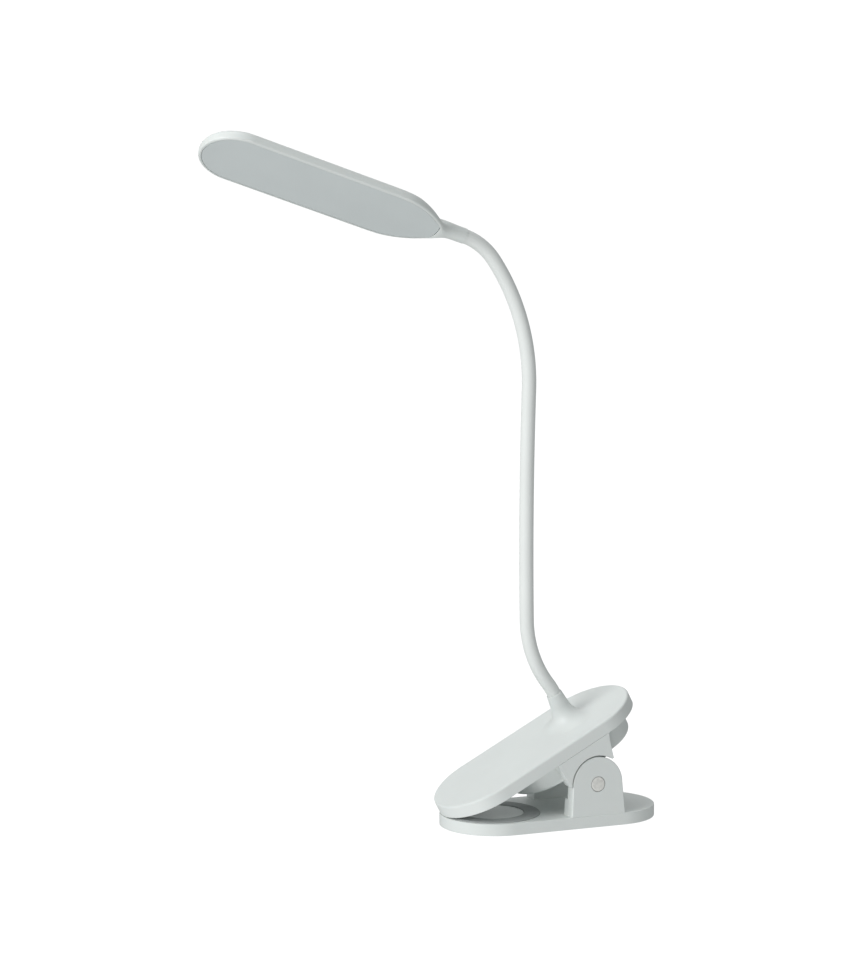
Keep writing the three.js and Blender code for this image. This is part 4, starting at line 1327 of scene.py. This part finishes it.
def add_camera(aim):
    scene = bpy.context.scene
    _, _, stage = settings()
    back = Vector((math.sin(stage.azimuth) * math.cos(stage.elevation),
                   -math.cos(stage.azimuth) * math.cos(stage.elevation), math.sin(stage.elevation)))
    camera = bpy.data.objects.new("Camera", bpy.data.cameras.new("Camera"))
    scene.collection.objects.link(camera)
    camera.location = aim + back * stage.distance
    camera.rotation_mode = "QUATERNION"
    camera.rotation_quaternion = (-back).to_track_quat("-Z", "Y")
    camera.data.lens = stage.lens
    camera.data.sensor_width = SENSOR_WIDTH
    camera.data.clip_start = 0.01
    camera.data.clip_end = 60
    scene.camera = camera


def build_stage():
    _, colours, stage = settings()
    scene = bpy.context.scene
    low, high = cad_bounds
    middle = (low + high) / 2
    add_camera(middle + Vector(AIM_OFFSET) * MM)
    for name in LIGHT_DIRECTIONS:
        add_light(name, getattr(stage, name), middle)
    floor = bmesh.new()
    bmesh.ops.create_circle(floor, cap_ends=True, radius=FLOOR_RADIUS, segments=64)
    add_backdrop("studio_floor", floor, tuple(colours.floor * FLOOR_SHADE), FLOOR_GLOW)
    dome = bmesh.new()
    bmesh.ops.create_icosphere(dome, subdivisions=4, radius=DOME_RADIUS)
    add_backdrop("studio_backdrop", dome, (0, 0, 0), DOME_GLOW)
    world = bpy.data.worlds.new("Studio")
    world.use_nodes = True
    world.node_tree.nodes["Background"].inputs["Color"].default_value = (0.97, 1.0, 1.0, 1)
    world.node_tree.nodes["Background"].inputs["Strength"].default_value = stage.ambient
    scene.world = world
    scene.view_settings.view_transform = "Standard"
    scene.view_settings.look = "None"


# ---- Operators --------------------------------------------------------------

class LAMP_OT_stage(bpy.types.Operator):
    """Add the camera, the lights and the pale floor"""

    bl_idname = "lamp.stage"
    bl_label = "Studio"

    def execute(self, context):
        build_stage()
        return {"FINISHED"}


class LAMP_OT_foot(bpy.types.Operator):
    """Build the foot's plate and ears"""

    bl_idname = "lamp.foot"
    bl_label = "Foot"

    def execute(self, context):
        build_foot()
        return {"FINISHED"}


class LAMP_OT_foot_rubber(bpy.types.Operator):
    """Build the grip ring and the sole"""

    bl_idname = "lamp.foot_rubber"
    bl_label = "Foot rubber"

    def execute(self, context):
        build_foot_rubber()
        return {"FINISHED"}


class LAMP_OT_hinge(bpy.types.Operator):
    """Build the hinge rivet and its cap"""

    bl_idname = "lamp.hinge"
    bl_label = "Hinge"

    def execute(self, context):
        build_hinge()
        return {"FINISHED"}


class LAMP_OT_spring(bpy.types.Operator):
    """Build the torsion spring round the rivet"""

    bl_idname = "lamp.spring"
    bl_label = "Spring"

    def execute(self, context):
        build_spring()
        return {"FINISHED"}


class LAMP_OT_cover(bpy.types.Operator):
    """Build the jaw's cover with the neck's boss"""

    bl_idname = "lamp.cover"
    bl_label = "Jaw cover"

    def execute(self, context):
        build_cover()
        return {"FINISHED"}


class LAMP_OT_case(bpy.types.Operator):
    """Build the lid, battery bulge, hoods and cheeks"""

    bl_idname = "lamp.case"
    bl_label = "Jaw case"

    def execute(self, context):
        build_case()
        return {"FINISHED"}


class LAMP_OT_grip_pad(bpy.types.Operator):
    """Build the ribbed pad under the jaw"""

    bl_idname = "lamp.grip_pad"
    bl_label = "Jaw pad"

    def execute(self, context):
        build_grip_pad()
        return {"FINISHED"}


class LAMP_OT_jaw_screws(bpy.types.Operator):
    """Build the four screws of the jaw"""

    bl_idname = "lamp.jaw_screws"
    bl_label = "Jaw screws"

    def execute(self, context):
        build_jaw_screws()
        return {"FINISHED"}


class LAMP_OT_socket(bpy.types.Operator):
    """Build the socket in the bulge's end"""

    bl_idname = "lamp.socket"
    bl_label = "Charging socket"

    def execute(self, context):
        build_socket()
        return {"FINISHED"}


class LAMP_OT_neck(bpy.types.Operator):
    """Build the neck's sleeve, one length for each joint"""

    bl_idname = "lamp.neck"
    bl_label = "Neck"

    def execute(self, context):
        build_neck()
        return {"FINISHED"}


class LAMP_OT_head_shell(bpy.types.Operator):
    """Build the head's shell with its collar"""

    bl_idname = "lamp.head_shell"
    bl_label = "Head shell"

    def execute(self, context):
        build_head_shell()
        return {"FINISHED"}


class LAMP_OT_diffuser(bpy.types.Operator):
    """Build the frosted panel"""

    bl_idname = "lamp.diffuser"
    bl_label = "Light panel"

    def execute(self, context):
        build_diffuser()
        return {"FINISHED"}


class LAMP_OT_inner_parts(bpy.types.Operator):
    """Finish the parts carried over from the frame"""

    bl_idname = "lamp.inner_parts"
    bl_label = "Inner parts"

    def execute(self, context):
        finish_inner_parts()
        return {"FINISHED"}


OPERATORS = [
    LAMP_OT_stage, LAMP_OT_foot, LAMP_OT_foot_rubber, LAMP_OT_hinge, LAMP_OT_spring, LAMP_OT_cover,
    LAMP_OT_case, LAMP_OT_grip_pad, LAMP_OT_jaw_screws, LAMP_OT_socket, LAMP_OT_neck,
    LAMP_OT_head_shell, LAMP_OT_diffuser, LAMP_OT_inner_parts,
]


class LAMP_PT_builder(bpy.types.Panel):
    """Sidebar panel that lists the lamp's builders."""

    bl_label = "Reading Lamp"
    bl_space_type = "VIEW_3D"
    bl_region_type = "UI"
    bl_category = "Reading Lamp"

    def draw(self, context):
        for group in settings():
            for key in group.bl_rna.properties.keys():
                if key not in ("rna_type", "name"):
                    self.layout.prop(group, key)
        for entry in OPERATORS:
            self.layout.operator(entry.bl_idname)


CLASSES = [LampSizes, LampColours, LampStage, *OPERATORS, LAMP_PT_builder]
GROUPS = {"lamp_sizes": LampSizes, "lamp_colours": LampColours, "lamp_stage": LampStage}


def register():
    for entry in CLASSES:
        bpy.utils.register_class(entry)
    for key, group in GROUPS.items():
        setattr(bpy.types.Scene, key, PointerProperty(type=group))


def unregister():
    for key in GROUPS:
        delattr(bpy.types.Scene, key)
    for entry in reversed(CLASSES):
        bpy.utils.unregister_class(entry)


def main():
    register()
    for entry in OPERATORS:
        group, name = entry.bl_idname.split(".")
        getattr(getattr(bpy.ops, group), name)()


if __name__ == "__main__":
    main()
